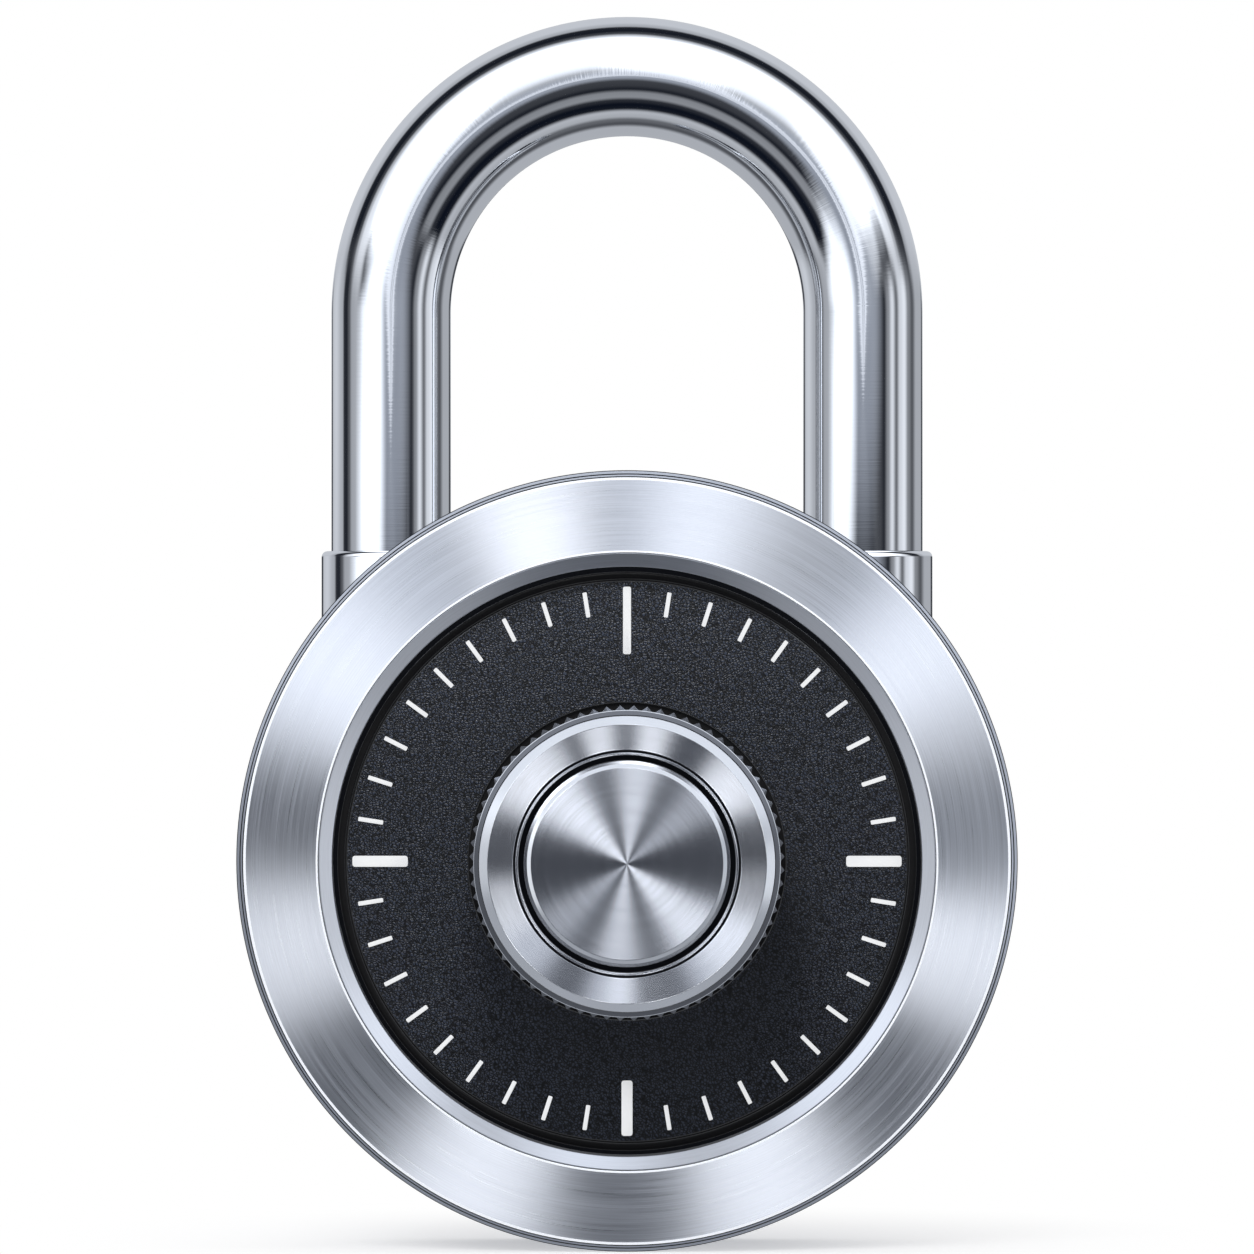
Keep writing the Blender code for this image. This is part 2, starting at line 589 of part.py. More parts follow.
def make_wheel(name, rear, bore, front_tab, rear_tab):
    """A disc with a gate in its rim and a tab on each side that is asked for."""
    front = rear + WHEEL_THICKNESS
    wheel = ring(name, bore, WHEEL_RADIUS, rear, front, MEDIUM_SIDES)
    half = GATE_WIDTH / 2
    gate = (WHEEL_RADIUS - GATE_DEPTH, WHEEL_RADIUS + GATE_DEPTH)
    cut(wheel, block(f"{name}_gate", gate, (-half, half), rear - SEAT_GAP, front + SEAT_GAP))
    reach = SPACER_THICKNESS + SEAT_GAP
    spans = {"front": (front - SEAT_GAP, front + reach), "rear": (rear - reach, rear + SEAT_GAP)}
    for side, angle in (("front", front_tab), ("rear", rear_tab)):
        if angle is not None:
            turn = math.radians(angle)
            place = (TAB_CIRCLE * math.cos(turn), 0, TAB_CIRCLE * math.sin(turn))
            unite(wheel, rod(f"{name}_{side}_tab", TAB_RADIUS, *spans[side], SMALL_SIDES // 2, place))
    return wheel


def make_wheel_post():
    flange = POST_RADIUS + POST_FLANGE
    profile = [(POST_BORE, POST_REAR), (flange, POST_REAR), (flange, POST_FLANGE_FRONT)]
    profile += [(POST_RADIUS, POST_FLANGE_FRONT), (POST_RADIUS, DRIVE_REAR - SEAT_GAP)]
    profile += [(POST_BORE, DRIVE_REAR - SEAT_GAP)]
    return turned("wheel_post", profile, SMALL_SIDES)


def make_spacer(name, rear):
    return ring(name, WHEEL_BORE, SPACER_RADIUS, rear, rear + SPACER_THICKNESS, SMALL_SIDES)


def make_clip():
    """Open clip in the spindle's groove, in front of the drive disc."""
    inner = SPINDLE_RADIUS - CLIP_GROOVE + FIT_GAP
    clip = ring("drive_disc_clip", inner, inner + CLIP_WIDTH, CLIP_REAR, CLIP_FRONT, SMALL_SIDES)
    mouth = inner * 0.8
    out = 2 * CLIP_WIDTH + inner
    cut(clip, block("clip_mouth", (0, out), (-mouth, mouth), CLIP_REAR - SEAT_GAP, CLIP_FRONT + SEAT_GAP))
    return clip


def make_bush():
    flange = BUSH_RADIUS + BUSH_FLANGE
    profile = [(POST_BORE, BUSH_REAR), (flange, BUSH_REAR), (flange, BUSH_FLANGE_FRONT)]
    profile += [(BUSH_RADIUS, BUSH_FLANGE_FRONT), (BUSH_RADIUS, BUSH_FRONT), (POST_BORE, BUSH_FRONT)]
    return turned("spindle_bush", profile, SMALL_SIDES)


def make_wave_washer():
    """Thin ring waved between the front plate and the dial, which steadies the dial."""
    middle = (PLATE_FRONT + DIAL_REAR) / 2
    washer = ring(
        "dial_wave_washer",
        WASHER_INNER,
        WASHER_INNER + WASHER_WIDTH,
        middle - WASHER_THICKNESS / 2,
        middle + WASHER_THICKNESS / 2,
        MEDIUM_SIDES - MEDIUM_SIDES % WASHER_WAVES,
    )
    height = (DIAL_LIFT - WASHER_THICKNESS) / 2 - FIT_GAP
    for vertex in washer.data.vertices:
        turn = math.atan2(vertex.co.z, vertex.co.x)
        vertex.co.y += height * math.cos(WASHER_WAVES * turn)
    return washer


def lever_outline():
    """The lever's plate round its pivot, from the boss up the fence side to the nose."""
    shoulder_z = TOE_Z - SEAT_GAP
    corner = WHEEL_RADIUS + POCKET_MARGIN
    bend = (corner * math.cos(math.radians(40)), corner * math.sin(math.radians(40)))
    boss = arc((PIVOT_X, PIVOT_Z), BOSS_RADIUS, -180, 0, 10)
    arm = [
        (PIVOT_X - FENCE_DEPTH / 2, FENCE_WIDTH),
        (NECK_X + NECK_WIDTH, shoulder_z - NECK_WIDTH),
        (NECK_X, shoulder_z),
        (NECK_X, NOSE_Z - SEAT_GAP),
        (NOSE_X, NOSE_Z),
        (NOSE_X, NOSE_TOP),
        (NECK_INNER_X, NOSE_TOP),
        (NECK_INNER_X, shoulder_z),
        bend,
        (FENCE_X, FENCE_WIDTH / 2),
        (FENCE_X, -FENCE_WIDTH / 2),
    ]
    return [(x - PIVOT_X, z - PIVOT_Z) for x, z in boss + arm]


def make_lever():
    """Lever on the pivot pin: its fence lies along the wheel rims and its nose faces the toe's notch."""
    place = (PIVOT_X, 0, PIVOT_Z)
    middle = SHACKLE_DEPTH
    lever = prism(
        "locking_lever", lever_outline(), middle - LEVER_THICKNESS / 2, middle + LEVER_THICKNESS / 2, place
    )
    near = FENCE_X - PIVOT_X
    low = -FENCE_WIDTH / 2 - PIVOT_Z
    fence = block(
        "lever_fence", (near, near + FENCE_DEPTH), (low, low + FENCE_WIDTH), WHEEL_1_REAR, DRIVE_FRONT, place
    )
    unite(lever, fence)
    bore = PIVOT_RADIUS + RUN_GAP
    cut(lever, rod("lever_bore", bore, CHASSIS_REAR, CHASSIS_FRONT, SMALL_SIDES, place))
    return lever


def make_spring():
    """Coil spring that presses the lever's neck towards the toe leg."""
    curve = bpy.data.curves.new("lever_spring", "CURVE")
    curve.dimensions = "3D"
    curve.bevel_depth = SPRING_WIRE
    curve.bevel_resolution = 0
    curve.use_fill_caps = True
    steps = 10 * SPRING_TURNS
    run = SPRING_LENGTH - 2 * SPRING_WIRE
    spline = curve.splines.new("POLY")
    spline.points.add(steps)
    for i, point in enumerate(spline.points):
        turn = math.tau * SPRING_TURNS * i / steps
        x = SPRING_WIRE + run * i / steps
        point.co = (x, SPRING_RADIUS * math.cos(turn), SPRING_RADIUS * math.sin(turn), 1)
    spring = bpy.data.objects.new("lever_spring", curve)
    spring.location = (SPRING_X, -SHACKLE_DEPTH, SPRING_Z)
    bpy.context.scene.collection.objects.link(spring)
    print(f"lever spring, gap between turns: {(run / SPRING_TURNS - 2 * SPRING_WIRE) / MM:.2f} mm")
    return spring


def place_pieces(parent, material, *pieces):
    """Hangs the pieces on the empty that moves them and gives each its finish."""
    bpy.context.view_layer.update()
    for piece in pieces:
        piece.parent = parent
        piece.matrix_parent_inverse = parent.matrix_world.inverted()
        piece.data.materials.append(material)


def main():
    clear_scene()
    brushed = finish("brushed_steel", (0.62, 0.65, 0.70), 0.35, 1.0)
    chrome = finish("polished_chrome", (0.80, 0.82, 0.86), 0.06, 1.0)
    black = finish("dial_plastic", (0.025, 0.027, 0.032), 0.5, 0.0)
    grip = finish("knob_dark_metal", (0.16, 0.17, 0.19), 0.4, 1.0)
    zinc = finish("zinc_casting", (0.42, 0.43, 0.45), 0.55, 1.0)
    brass = finish("brass", (0.72, 0.55, 0.25), 0.3, 1.0)
    spring_steel = finish("spring_steel", (0.35, 0.36, 0.38), 0.3, 1.0)

    case_axis = axis_empty("case_axis", (0, 0, 0))
    dial_axis = axis_empty("dial_axis", (0, 0, 0))
    shackle_axis = axis_empty("shackle_axis", (-LEG_X, -SHACKLE_DEPTH, 0))
    lever_axis = axis_empty("lever_axis", (PIVOT_X, -SHACKLE_DEPTH, PIVOT_Z))

    place_pieces(case_axis, brushed, make_case(), make_back_cover(), make_bezel(), *make_rivets())
    place_pieces(case_axis, chrome, make_collar("heel_collar", -1), make_collar("toe_collar", 1))
    place_pieces(case_axis, zinc, make_chassis(), make_front_plate())
    place_pieces(shackle_axis, chrome, make_shackle())

    place_pieces(dial_axis, black, make_dial())
    place_pieces(dial_axis, grip, make_knob_grip())
    place_pieces(dial_axis, brushed, make_trim_ring(), make_cap(), make_spindle(), make_knob_screw())

    step = TAB_STEP_DEG
    drive = make_wheel("drive_disc", DRIVE_REAR, SPINDLE_BORE, None, 180)
    wheel_2 = make_wheel("wheel_2", WHEEL_2_REAR, WHEEL_BORE, 180 + step, 180 + 3 * step)
    wheel_1 = make_wheel("wheel_1", WHEEL_1_REAR, WHEEL_BORE, 180 + 4 * step, None)
    place_pieces(dial_axis, brass, drive, wheel_2, wheel_1)
    place_pieces(dial_axis, spring_steel, make_clip())
    spacers = [make_spacer("wheel_spacer_1", SPACER_1_REAR), make_spacer("wheel_spacer_2", SPACER_2_REAR)]
    place_pieces(case_axis, brass, make_wheel_post(), make_bush(), *spacers)
    place_pieces(case_axis, spring_steel, make_wave_washer(), make_spring())

    pivot_place = (PIVOT_X, 0, PIVOT_Z)
    pin_place = (HEEL_PIN_X, 0, HEEL_PIN_Z)
    pivot = rod("lever_pivot_pin", PIVOT_RADIUS, CHASSIS_REAR, CHASSIS_FRONT, SMALL_SIDES, pivot_place)
    heel_pin = rod("heel_pin", HEEL_PIN_RADIUS, CHASSIS_REAR, CHASSIS_FRONT, SMALL_SIDES, pin_place)
    place_pieces(case_axis, spring_steel, pivot, heel_pin)
    place_pieces(lever_axis, spring_steel, make_lever())


main()
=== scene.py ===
"""Looks of the round dial padlock: turned metal, polished shackle, grained dial and the studio round it.

A height on a turned piece runs along the dial's axis from the back face to the front. Such a piece is
turned about its own Z axis and then laid over, so that the axis points at the viewer.
"""

import math

import bmesh
import bpy
from bpy.props import FloatProperty, FloatVectorProperty, IntProperty, PointerProperty
from mathutils import Matrix, Vector


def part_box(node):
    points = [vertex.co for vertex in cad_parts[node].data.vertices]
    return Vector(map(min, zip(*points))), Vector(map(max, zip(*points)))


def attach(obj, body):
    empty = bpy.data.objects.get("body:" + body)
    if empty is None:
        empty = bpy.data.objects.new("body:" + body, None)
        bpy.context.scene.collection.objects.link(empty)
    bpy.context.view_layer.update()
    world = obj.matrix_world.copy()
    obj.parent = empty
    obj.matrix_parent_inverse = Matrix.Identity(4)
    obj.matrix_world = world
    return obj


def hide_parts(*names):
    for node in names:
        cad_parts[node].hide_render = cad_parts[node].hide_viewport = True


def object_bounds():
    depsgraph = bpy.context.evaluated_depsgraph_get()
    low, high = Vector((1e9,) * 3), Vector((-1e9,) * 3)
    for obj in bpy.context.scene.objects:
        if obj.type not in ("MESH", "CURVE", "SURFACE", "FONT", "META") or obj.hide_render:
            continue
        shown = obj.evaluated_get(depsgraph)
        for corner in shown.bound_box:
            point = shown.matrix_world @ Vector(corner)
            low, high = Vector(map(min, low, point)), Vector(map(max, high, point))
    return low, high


bl_info = {
    "name": "Dial padlock",
    "version": (1, 0, 0),
    "blender": (4, 5, 0),
    "location": "View3D > Sidebar > Padlock",
    "description": "Dresses the packed padlock with fine pieces, finishes and a studio",
    "category": "Object",
}

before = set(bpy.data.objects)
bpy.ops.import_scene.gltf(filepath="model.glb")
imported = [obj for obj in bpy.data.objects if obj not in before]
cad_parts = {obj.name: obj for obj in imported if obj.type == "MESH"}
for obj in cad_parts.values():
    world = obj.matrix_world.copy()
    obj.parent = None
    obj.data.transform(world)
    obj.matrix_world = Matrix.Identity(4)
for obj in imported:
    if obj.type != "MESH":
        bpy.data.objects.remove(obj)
CAD_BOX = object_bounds()
MM = 0.001

# Facets and rounds of the fine pieces. A guard is the short flat kept at each end of a round, and
# points nearer to each other than the weld are merged.
TURN_SIDES = 256
FERRULE_SIDES = 128
BORE_SIDES = 96
RIVET_SIDES = 64
BAR_SIDES = 64
ARCH_STEPS = 96
ROUND_STEPS = 4
GUARD = 0.03 * MM
WELD = 1e-8
SHARP_ANGLE = 40.0

# Share of a side that a round may take, if the corner at its other end is rounded too or if it isn't.
SHARED_SIDE = 0.45
FREE_SIDE = 0.85

# Rows of facets along the case tube: their number, start and span, as shares of the tube's length.
TUBE_ROWS = 8
TUBE_ROWS_START = 0.25
TUBE_ROWS_SPAN = 0.7

# Shares that shape small forms: a rivet's crown (of its radius, of its dome), a mark's corner (of its
# width) and shoulder (of its height), and the two fine lines in the bezel's rim (of the rim's width).
CROWN_RADIUS = 0.6
CROWN_DROP = 0.7
MARK_CORNER = 0.24
MARK_SHOULDER = 0.6
RIM_LINES = (0.33, 0.62)

# Buffing lines on the polished bar: their width and their length across the bar.
BUFF_WIDTH = 0.12 * MM
BUFF_RUN = 4 * MM


def rear_and_front(node):
    """How far a node's rear and front lie from the back face."""
    low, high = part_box(node)
    return -high.y, -low.y


def reach(node):
    """A node's radius about the dial's axis."""
    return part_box(node)[1].x


def middle(node):
    low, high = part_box(node)
    return (low + high) / 2


CASE_RADIUS = reach("case_shell")
CASE_REAR, CASE_FRONT = rear_and_front("case_shell")
COVER_RADIUS = reach("back_cover")
COVER_REAR, COVER_FRONT = rear_and_front("back_cover")
BEZEL_REAR, BEZEL_FRONT = rear_and_front("front_bezel")
DIAL_RADIUS = reach("dial")
DIAL_REAR, DIAL_FRONT = rear_and_front("dial")
GRIP_RADIUS = reach("knob_grip")
GRIP_REAR, GRIP_FRONT = rear_and_front("knob_grip")
TRIM_REAR, TRIM_FRONT = rear_and_front("knob_bevel_ring")
CAP_RADIUS = reach("knob_cap")
CAP_REAR, CAP_FRONT = rear_and_front("knob_cap")
SHACKLE_LOW, SHACKLE_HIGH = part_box("shackle")
BAR_RADIUS = (SHACKLE_HIGH.y - SHACKLE_LOW.y) / 2
BAR_Y = (SHACKLE_HIGH.y + SHACKLE_LOW.y) / 2
LEG_X = SHACKLE_HIGH.x - BAR_RADIUS
ARCH_Z = SHACKLE_HIGH.z - BAR_RADIUS - LEG_X
INNER_NODES = {
    "zinc_casting": ("chassis", "front_plate"),
    "brass": (
        "drive_disc", "wheel_1", "wheel_2", "wheel_spacer_1", "wheel_spacer_2", "wheel_post",
        "spindle_bush",
    ),
    "spring_steel": (
        "drive_disc_clip", "dial_wave_washer", "lever_spring", "lever_pivot_pin", "heel_pin",
        "locking_lever",
    ),
    "case_steel": ("knob_screw", "dial_spindle"),
}


def length(name, description, millimetres):
    return FloatProperty(
        name=name, description=description, default=millimetres * MM, unit="LENGTH", precision=5
    )


def amount(name, description, value):
    return FloatProperty(name=name, description=description, default=value)


def tint(name, description, color):
    return FloatVectorProperty(
        name=name, description=description, default=color, size=3, subtype="COLOR", min=0.0, max=1.0
    )


def share(name, description, value):
    return FloatProperty(
        name=name, description=description, default=value, min=0.0, max=1.0, subtype="FACTOR"
    )


def group(name, settings):
    return PointerProperty(type=settings, name=name, description=f"{name} settings")


class CaseSettings(bpy.types.PropertyGroup):
    """Case tube, back cover and rivets."""

    wall: length("Wall", "Thickness of the tube", 1.5)
    rear_round: length("Rear round", "Round on the tube's rear edge", 1.2)
    edge_round: length("Edge round", "Round on the other edges", 0.1)
    bore_gap: length("Bore gap", "Gap between the tube and each ferrule", 0.12)
    rivet_dome: length("Rivet dome", "How far a rivet's middle stands above its edge", 0.04)
    color: tint("Steel", "Colour of the case", (0.62, 0.66, 0.74))


class BezelSettings(bpy.types.PropertyGroup):
    """Cone-faced ring round the dial."""

    seat_radius: length("Seat radius", "Radius of the step that enters the case", 21.5)
    step: length("Step", "Height of the step that enters the case", 0.3)
    opening_gap: length("Opening gap", "Gap between the dial and the lip", 0.3)
    lip_width: length("Lip width", "Width of the sloping lip", 0.95)
    lip_drop: length("Lip drop", "How far the lip falls towards the dial", 0.38)
    shelf: length("Shelf", "Width of the shelf under the dial's edge", 1.2)
    face_edge: length("Face edge", "Distance from the rim to the cone face", 0.58)
    edge_slope: FloatProperty(
        name="Edge slope", description="Slope of the rim", default=math.radians(37.5), subtype="ANGLE"
    )
    rise: length("Cone rise", "Rise of the cone from its outer edge to the lip", 1.8)
    # The two fine lines are grooves whose faces are painted shade.
    line_width: length("Line width", "Width of the two fine lines turned in the rim", 0.07)
    line_depth: length("Line depth", "Depth of those lines", 0.2)
    crest_width: length("Crest width", "Width of the bright crest between the cone and the lip", 0.13)
    edge_round: length("Edge round", "Round on the edges", 0.06)
    color: tint("Metal", "Colour of the brushed metal", (0.66, 0.694, 0.763))
    # The edge colour is painted highlight: the polished edges are made lighter than the metal beside them,
    # so that they read as bright lines.
    edge_highlight_and_shade: tint("Edge", "Colour of the polished edges", (0.9, 0.93, 0.99))
    # The gap colour is painted shade: near-black metal laid in the fine lines, the gaps, the shelf and the
    # walls under edges, where shade falls.
    gap_shade_color: tint("Gap", "Colour of the dull metal in fine lines and gaps", (0.012, 0.013, 0.016))


class DialSettings(bpy.types.PropertyGroup):
    """Dial disc and its painted marks."""

    bead: length("Bead", "Width of the bead at the rim", 0.4)
    groove: length("Groove", "Width and depth of the groove inside the bead", 0.2)
    # The sunk ring and the edge colour are painted shade: the ring's black faces stand for the knob's shadow
    # on the dial, and the bead and the groove are darker than the grained dial where the gap under the lip
    # lies in shade. The bead is black plastic as well.
    shadow_recess: length("Recess", "Width of the sunk ring round the knob", 0.2)
    edge_highlight_and_shade: tint("Edge", "Colour of the bead, the groove and the sunk ring", (0.002, 0.002, 0.0024))
    bore: length("Bore", "Radius of the hole for the spindle", 1.65)
    marks: IntProperty(name="Marks", description="Marks round the dial", default=40, min=4)
    mark_outer: length("Mark outer end", "Radius of a short mark's outer end", 16.2)
    mark_length: length("Mark length", "Length of a short mark", 1.5)
    mark_width: length("Mark width", "Width of a short mark", 0.26)
    main_outer: length("Main mark outer end", "Radius of a main mark's outer end", 16.35)
    main_length: length("Main mark length", "Length of the marks at 3, 6 and 9 o'clock", 3.3)
    main_width: length("Main mark width", "Width of the marks at 3, 6 and 9 o'clock", 0.66)
    top_length: length("Top mark length", "Length of the mark at 12 o'clock", 4.02)
    top_width: length("Top mark width", "Width of the mark at 12 o'clock", 0.48)
    paint_height: length("Paint height", "How far the marks stand off the dial", 0.03)
    color: tint("Plastic", "Colour of the dial", (0.0094, 0.012, 0.019))
    paint: tint("Paint", "Colour of the marks", (0.95, 0.965, 1.0))


class KnobSettings(bpy.types.PropertyGroup):
    """Knurled grip, bevelled ring and centre cap."""

    teeth: IntProperty(name="Teeth", description="Knurl points round the grip", default=72, min=12)
    rows: IntProperty(name="Rows", description="Rows of knurl points", default=7, min=1)
    knurl: length("Knurl depth", "Height of a knurl point", 0.36)
    band: length("Band", "Height of the smooth band in front of the knurl", 0.35)
    band_lift: length("Band lift", "How far the band stands above the knurl's root", 0.12)
    rim_gap: length("Rim gap", "Gap between the grip's rim and the bevelled ring", 0.05)
    rim_rise: length("Rim rise", "Rise of the grip's sloping rim", 0.17)
    trim_edge: length("Trim edge", "Distance from the band to the bevelled ring", 0.34)
    # The polished bevel, the cap's bright edge and the grip's chamfer take the lighter edge metal: painted
    # highlight.
    bevel: length("Bevel", "Width of the polished bevel", 0.5)
    bevel_rise: length("Bevel rise", "Height of the polished bevel", 0.38)
    ring_fall: length("Ring fall", "How far the brushed ring falls towards the cap", 0.18)
    inner_ring: length("Inner ring", "Width of the plain ring inside the brushed one", 0.15)
    # The dark line and the cap gap are grooves whose walls are painted shade.
    line: length("Line", "Width of the dark line between the two", 0.15)
    line_depth: length("Line depth", "Depth of that line", 0.35)
    cap_gap: length("Cap gap", "Groove between the ring and the cap", 0.32)
    cap_chamfer: length("Cap chamfer", "Width of the cap's bright edge", 0.24)
    cap_rise: length("Cap rise", "Height of the cap's bright edge", 0.18)
    cap_step: length("Cap step", "Width of the fine step outside the bright edge", 0.2)
    edge_round: length("Edge round", "Round on the edges", 0.04)
    grip_color: tint("Grip", "Colour of the dark grip", (0.22, 0.23, 0.255))
    ring_color: tint("Ring", "Colour of the bevelled ring", (0.735, 0.767, 0.84))
    cap_color: tint("Cap", "Colour of the cap", (0.69, 0.722, 0.795))


class ShackleSettings(bpy.types.PropertyGroup):
    """Round bar and its two ferrules."""

    tip_round: length("Tip round", "Round on the ends of the legs", 0.7)
    notch_low: length("Notch low", "Height of the toe notch's lower side above the toe's end", 1.5)
    notch_height: length("Notch height", "Height of the toe notch", 2.9)
    notch_depth: length("Notch depth", "How deep the notch goes into the bar", 1.7)
    slot_low: length("Slot low", "Height of the heel slot's lower end above the heel's end", 1.5)
    slot_height: length("Slot height", "Length of the heel slot", 13.1)
    slot_depth: length("Slot depth", "How deep the slot goes into the bar", 2.5)
    toe_end: length("Toe end", "Height of the toe's end above the dial's axis", 8.82)
    ferrule_wall: length("Ferrule wall", "Thickness of a ferrule", 0.4)
    ferrule_round: length("Ferrule round", "Round on the top of a ferrule", 0.38)
    color: tint("Chrome", "Colour of the polished metal", (0.93, 0.945, 0.97))


class WorksSettings(bpy.types.PropertyGroup):
    """Finishes of the pieces inside the case."""

    zinc: tint("Zinc", "Colour of the castings", (0.42, 0.43, 0.45))
    brass: tint("Brass", "Colour of the wheels, the spacers and the bush", (0.72, 0.55, 0.25))
    spring: tint("Spring steel", "Colour of the lever, the pins and the springs", (0.35, 0.36, 0.38))
    steel: tint("Steel", "Colour of the spindle and its screw", (0.6, 0.62, 0.66))


class StageSettings(bpy.types.PropertyGroup):
    """Camera, studio and floor."""

    frame_width: length("Frame width", "Width of the picture at the lock", 75.24)
    frame_depth: length("Frame depth", "Distance from the back face at which that width holds", 10.0)
    center_height: length("Centre height", "Height of the picture's centre above the dial's axis", 13.95)
    lens: amount("Lens", "Focal length in millimetres", 300.0)
    sensor: amount("Sensor", "Sensor width in millimetres", 36.0)
    floor_size: length("Floor size", "Side of the floor", 4000.0)
    floor_fade: length("Floor fade", "Distance at which the floor has faded to white", 40.0)
    floor_glow: share("Floor glow", "White that the floor gives of itself", 0.35)
    floor_color: tint("Floor", "Colour of the floor", (0.86, 0.86, 0.87))
    fill: amount("Fill", "Level of the plain light from all round", 0.6)
    card_distance: length("Card distance", "Distance of the dark cards from the lock", 1500.0)
    card_color: tint("Cards", "Colour of the dark cards", (0.004, 0.006, 0.012))
    wall_color: tint("Walls", "Colour of the pale walls seen between the cards", (0.9, 0.935, 1.0))
    lamp_distance: length("Lamp distance", "Distance of the soft lamps from the lock", 600.0)
    dial_power: amount("Dial power", "Power of the lamp above the dial in watts", 0.072)
    dial_lamp: length("Dial lamp", "Side of the lamp above the dial", 30.0)
    key_power: amount("Key power", "Power of the soft key lamp in watts", 2.2)
    key_size: length("Key size", "Side of the key lamp", 400.0)


class PadlockSettings(bpy.types.PropertyGroup):
    """All the settings, one group for each operator."""

    case: group("Case", CaseSettings)
    bezel: group("Bezel", BezelSettings)
    dial: group("Dial", DialSettings)
    knob: group("Knob", KnobSettings)
    shackle: group("Shackle", ShackleSettings)
    works: group("Inner works", WorksSettings)
    stage: group("Stage", StageSettings)


class Wire:
    """A shader value that takes part in Python arithmetic; each operation adds a Math node."""

    def __init__(self, paint, socket):
        self.paint = paint
        self.socket = socket

    def math(self, operation, *values):
        return self.paint.node("ShaderNodeMath", {"operation": operation}, dict(enumerate(values)))

    def __add__(self, other):
        return self.math("ADD", self, other)

    def __radd__(self, other):
        return self.math("ADD", other, self)

    def __sub__(self, other):
        return self.math("SUBTRACT", self, other)

    def __rsub__(self, other):
        return self.math("SUBTRACT", other, self)

    def __mul__(self, other):
        return self.math("MULTIPLY", self, other)

    def __rmul__(self, other):
        return self.math("MULTIPLY", other, self)

    def __truediv__(self, other):
        return self.math("DIVIDE", self, other)

    def __rtruediv__(self, other):
        return self.math("DIVIDE", other, self)

    def __pow__(self, other):
        return self.math("POWER", self, other)

    def __rpow__(self, other):
        return self.math("POWER", other, self)

    def __neg__(self):
        return self.math("MULTIPLY", self, -1.0)

    def __gt__(self, other):
        return self.math("GREATER_THAN", self, other)

    def __lt__(self, other):
        return self.math("LESS_THAN", self, other)


class Paint:
    """The node tree of one material or of the world."""

    def __init__(self, tree):
        self.tree = tree
        tree.nodes.clear()

    def node(self, kind, settings=None, sockets=None, output=0):
        """Adds a node, its settings first and then its sockets' values or links, and gives an output."""
        made = self.tree.nodes.new(kind)
        for name, value in (settings or {}).items():
            if name == "stops":
                self.set_stops(made.color_ramp, value)
            else:
                setattr(made, name, value)
        for name, value in (sockets or {}).items():
            if isinstance(value, Wire):
                self.tree.links.new(value.socket, made.inputs[name])
            else:
                made.inputs[name].default_value = value
        return Wire(self, made.outputs[output]) if made.outputs else None

    def set_stops(self, ramp, stops):
        """Gives a ramp its stops of (place, grey level)."""
        ramp.interpolation = "EASE"
        while len(ramp.elements) < len(stops):
            ramp.elements.new(1.0)
        for element, (spot, level) in zip(ramp.elements, stops):
            element.position = spot
            element.color = (level, level, level, 1.0)

    def place(self):
        """The x, y and z of a point on the piece, in its own frame."""
        where = self.node("ShaderNodeTexCoord", output="Object")
        return [self.node("ShaderNodeSeparateXYZ", None, {0: where}, axis) for axis in "XYZ"]

    def noise(self, vector, scale=1.0, detail=2.0, roughness=0.5):
        sockets = {"Vector": vector, "Scale": scale, "Detail": detail, "Roughness": roughness}
        return self.node("ShaderNodeTexNoise", {"noise_dimensions": "3D"}, sockets)

    def vector(self, x, y, z):
        return self.node("ShaderNodeCombineXYZ", None, {"X": x, "Y": y, "Z": z})

    def step(self, value, low, high):
        """Rises smoothly from 0 at low to 1 at high."""
        sockets = {"Value": value, "From Min": low, "From Max": high}
        return self.node("ShaderNodeMapRange", {"interpolation_type": "SMOOTHSTEP"}, sockets)

    def blend(self, factor, first, second):
        """Mixes two colours."""
        sockets = {0: factor, 6: rgba(first), 7: rgba(second)}
        return self.node("ShaderNodeMix", {"data_type": "RGBA"}, sockets, 2)

    def bump(self, height, strength, distance):
        sockets = {"Height": height, "Strength": strength, "Distance": distance}
        return self.node("ShaderNodeBump", None, sockets)

    def shader(self, **values):
        """Principled shader; a socket is named by its words joined with underscores."""
        sockets = {name.replace("_", " "): value for name, value in values.items()}
        return self.node("ShaderNodeBsdfPrincipled", None, sockets)

    def surface(self, shader, kind="ShaderNodeOutputMaterial"):
        self.node(kind, None, {"Surface": shader})


def rgba(color):
    if isinstance(color, Wire):
        return color
    return (color[0], color[1], color[2], 1.0)


def scaled(color, factor):
    return tuple(min(1.0, channel * factor) for channel in color)


def new_paint(name):
    material = bpy.data.materials.new(name)
    material.use_nodes = True
    return material, Paint(material.node_tree)


def spun_metal(name, color, roughness, anisotropy, contrast, streak=0.09 * MM, run=7.0, relief=0.12):
    """Metal turned or brushed round its axis: fine lines that follow the turning."""
    material, paint = new_paint(name)
    x, y, z = paint.place()
    radius = (x * x + y * y) ** 0.5
    around = (x / radius, y / radius)

    def lines_along(across, turns, **look):
        return paint.noise(paint.vector(across, around[0] * turns, around[1] * turns), **look)

    fine = lines_along(radius / streak, run, detail=3.0, roughness=0.6)
    wide = lines_along(radius / (streak * 5), run * 0.4)
    side = lines_along(z / (streak * 8), run)
    lines = fine * 0.6 + wide * 0.25 + side * 0.15
    mask = paint.step(lines, 0.32, 0.68)
    base = paint.blend(mask, scaled(color, 1.0 - contrast), scaled(color, 1.0 + contrast))
    normal = {"Normal": paint.bump(lines, relief, 0.01 * MM)} if relief else {}
    paint.surface(
        paint.shader(
            Base_Color=base,
            Metallic=1.0,
            Roughness=roughness + (mask - 0.5) * (contrast * 0.8),
            Anisotropic=anisotropy,
            Anisotropic_Rotation=0.25,
            **normal,
        )
    )
    return material


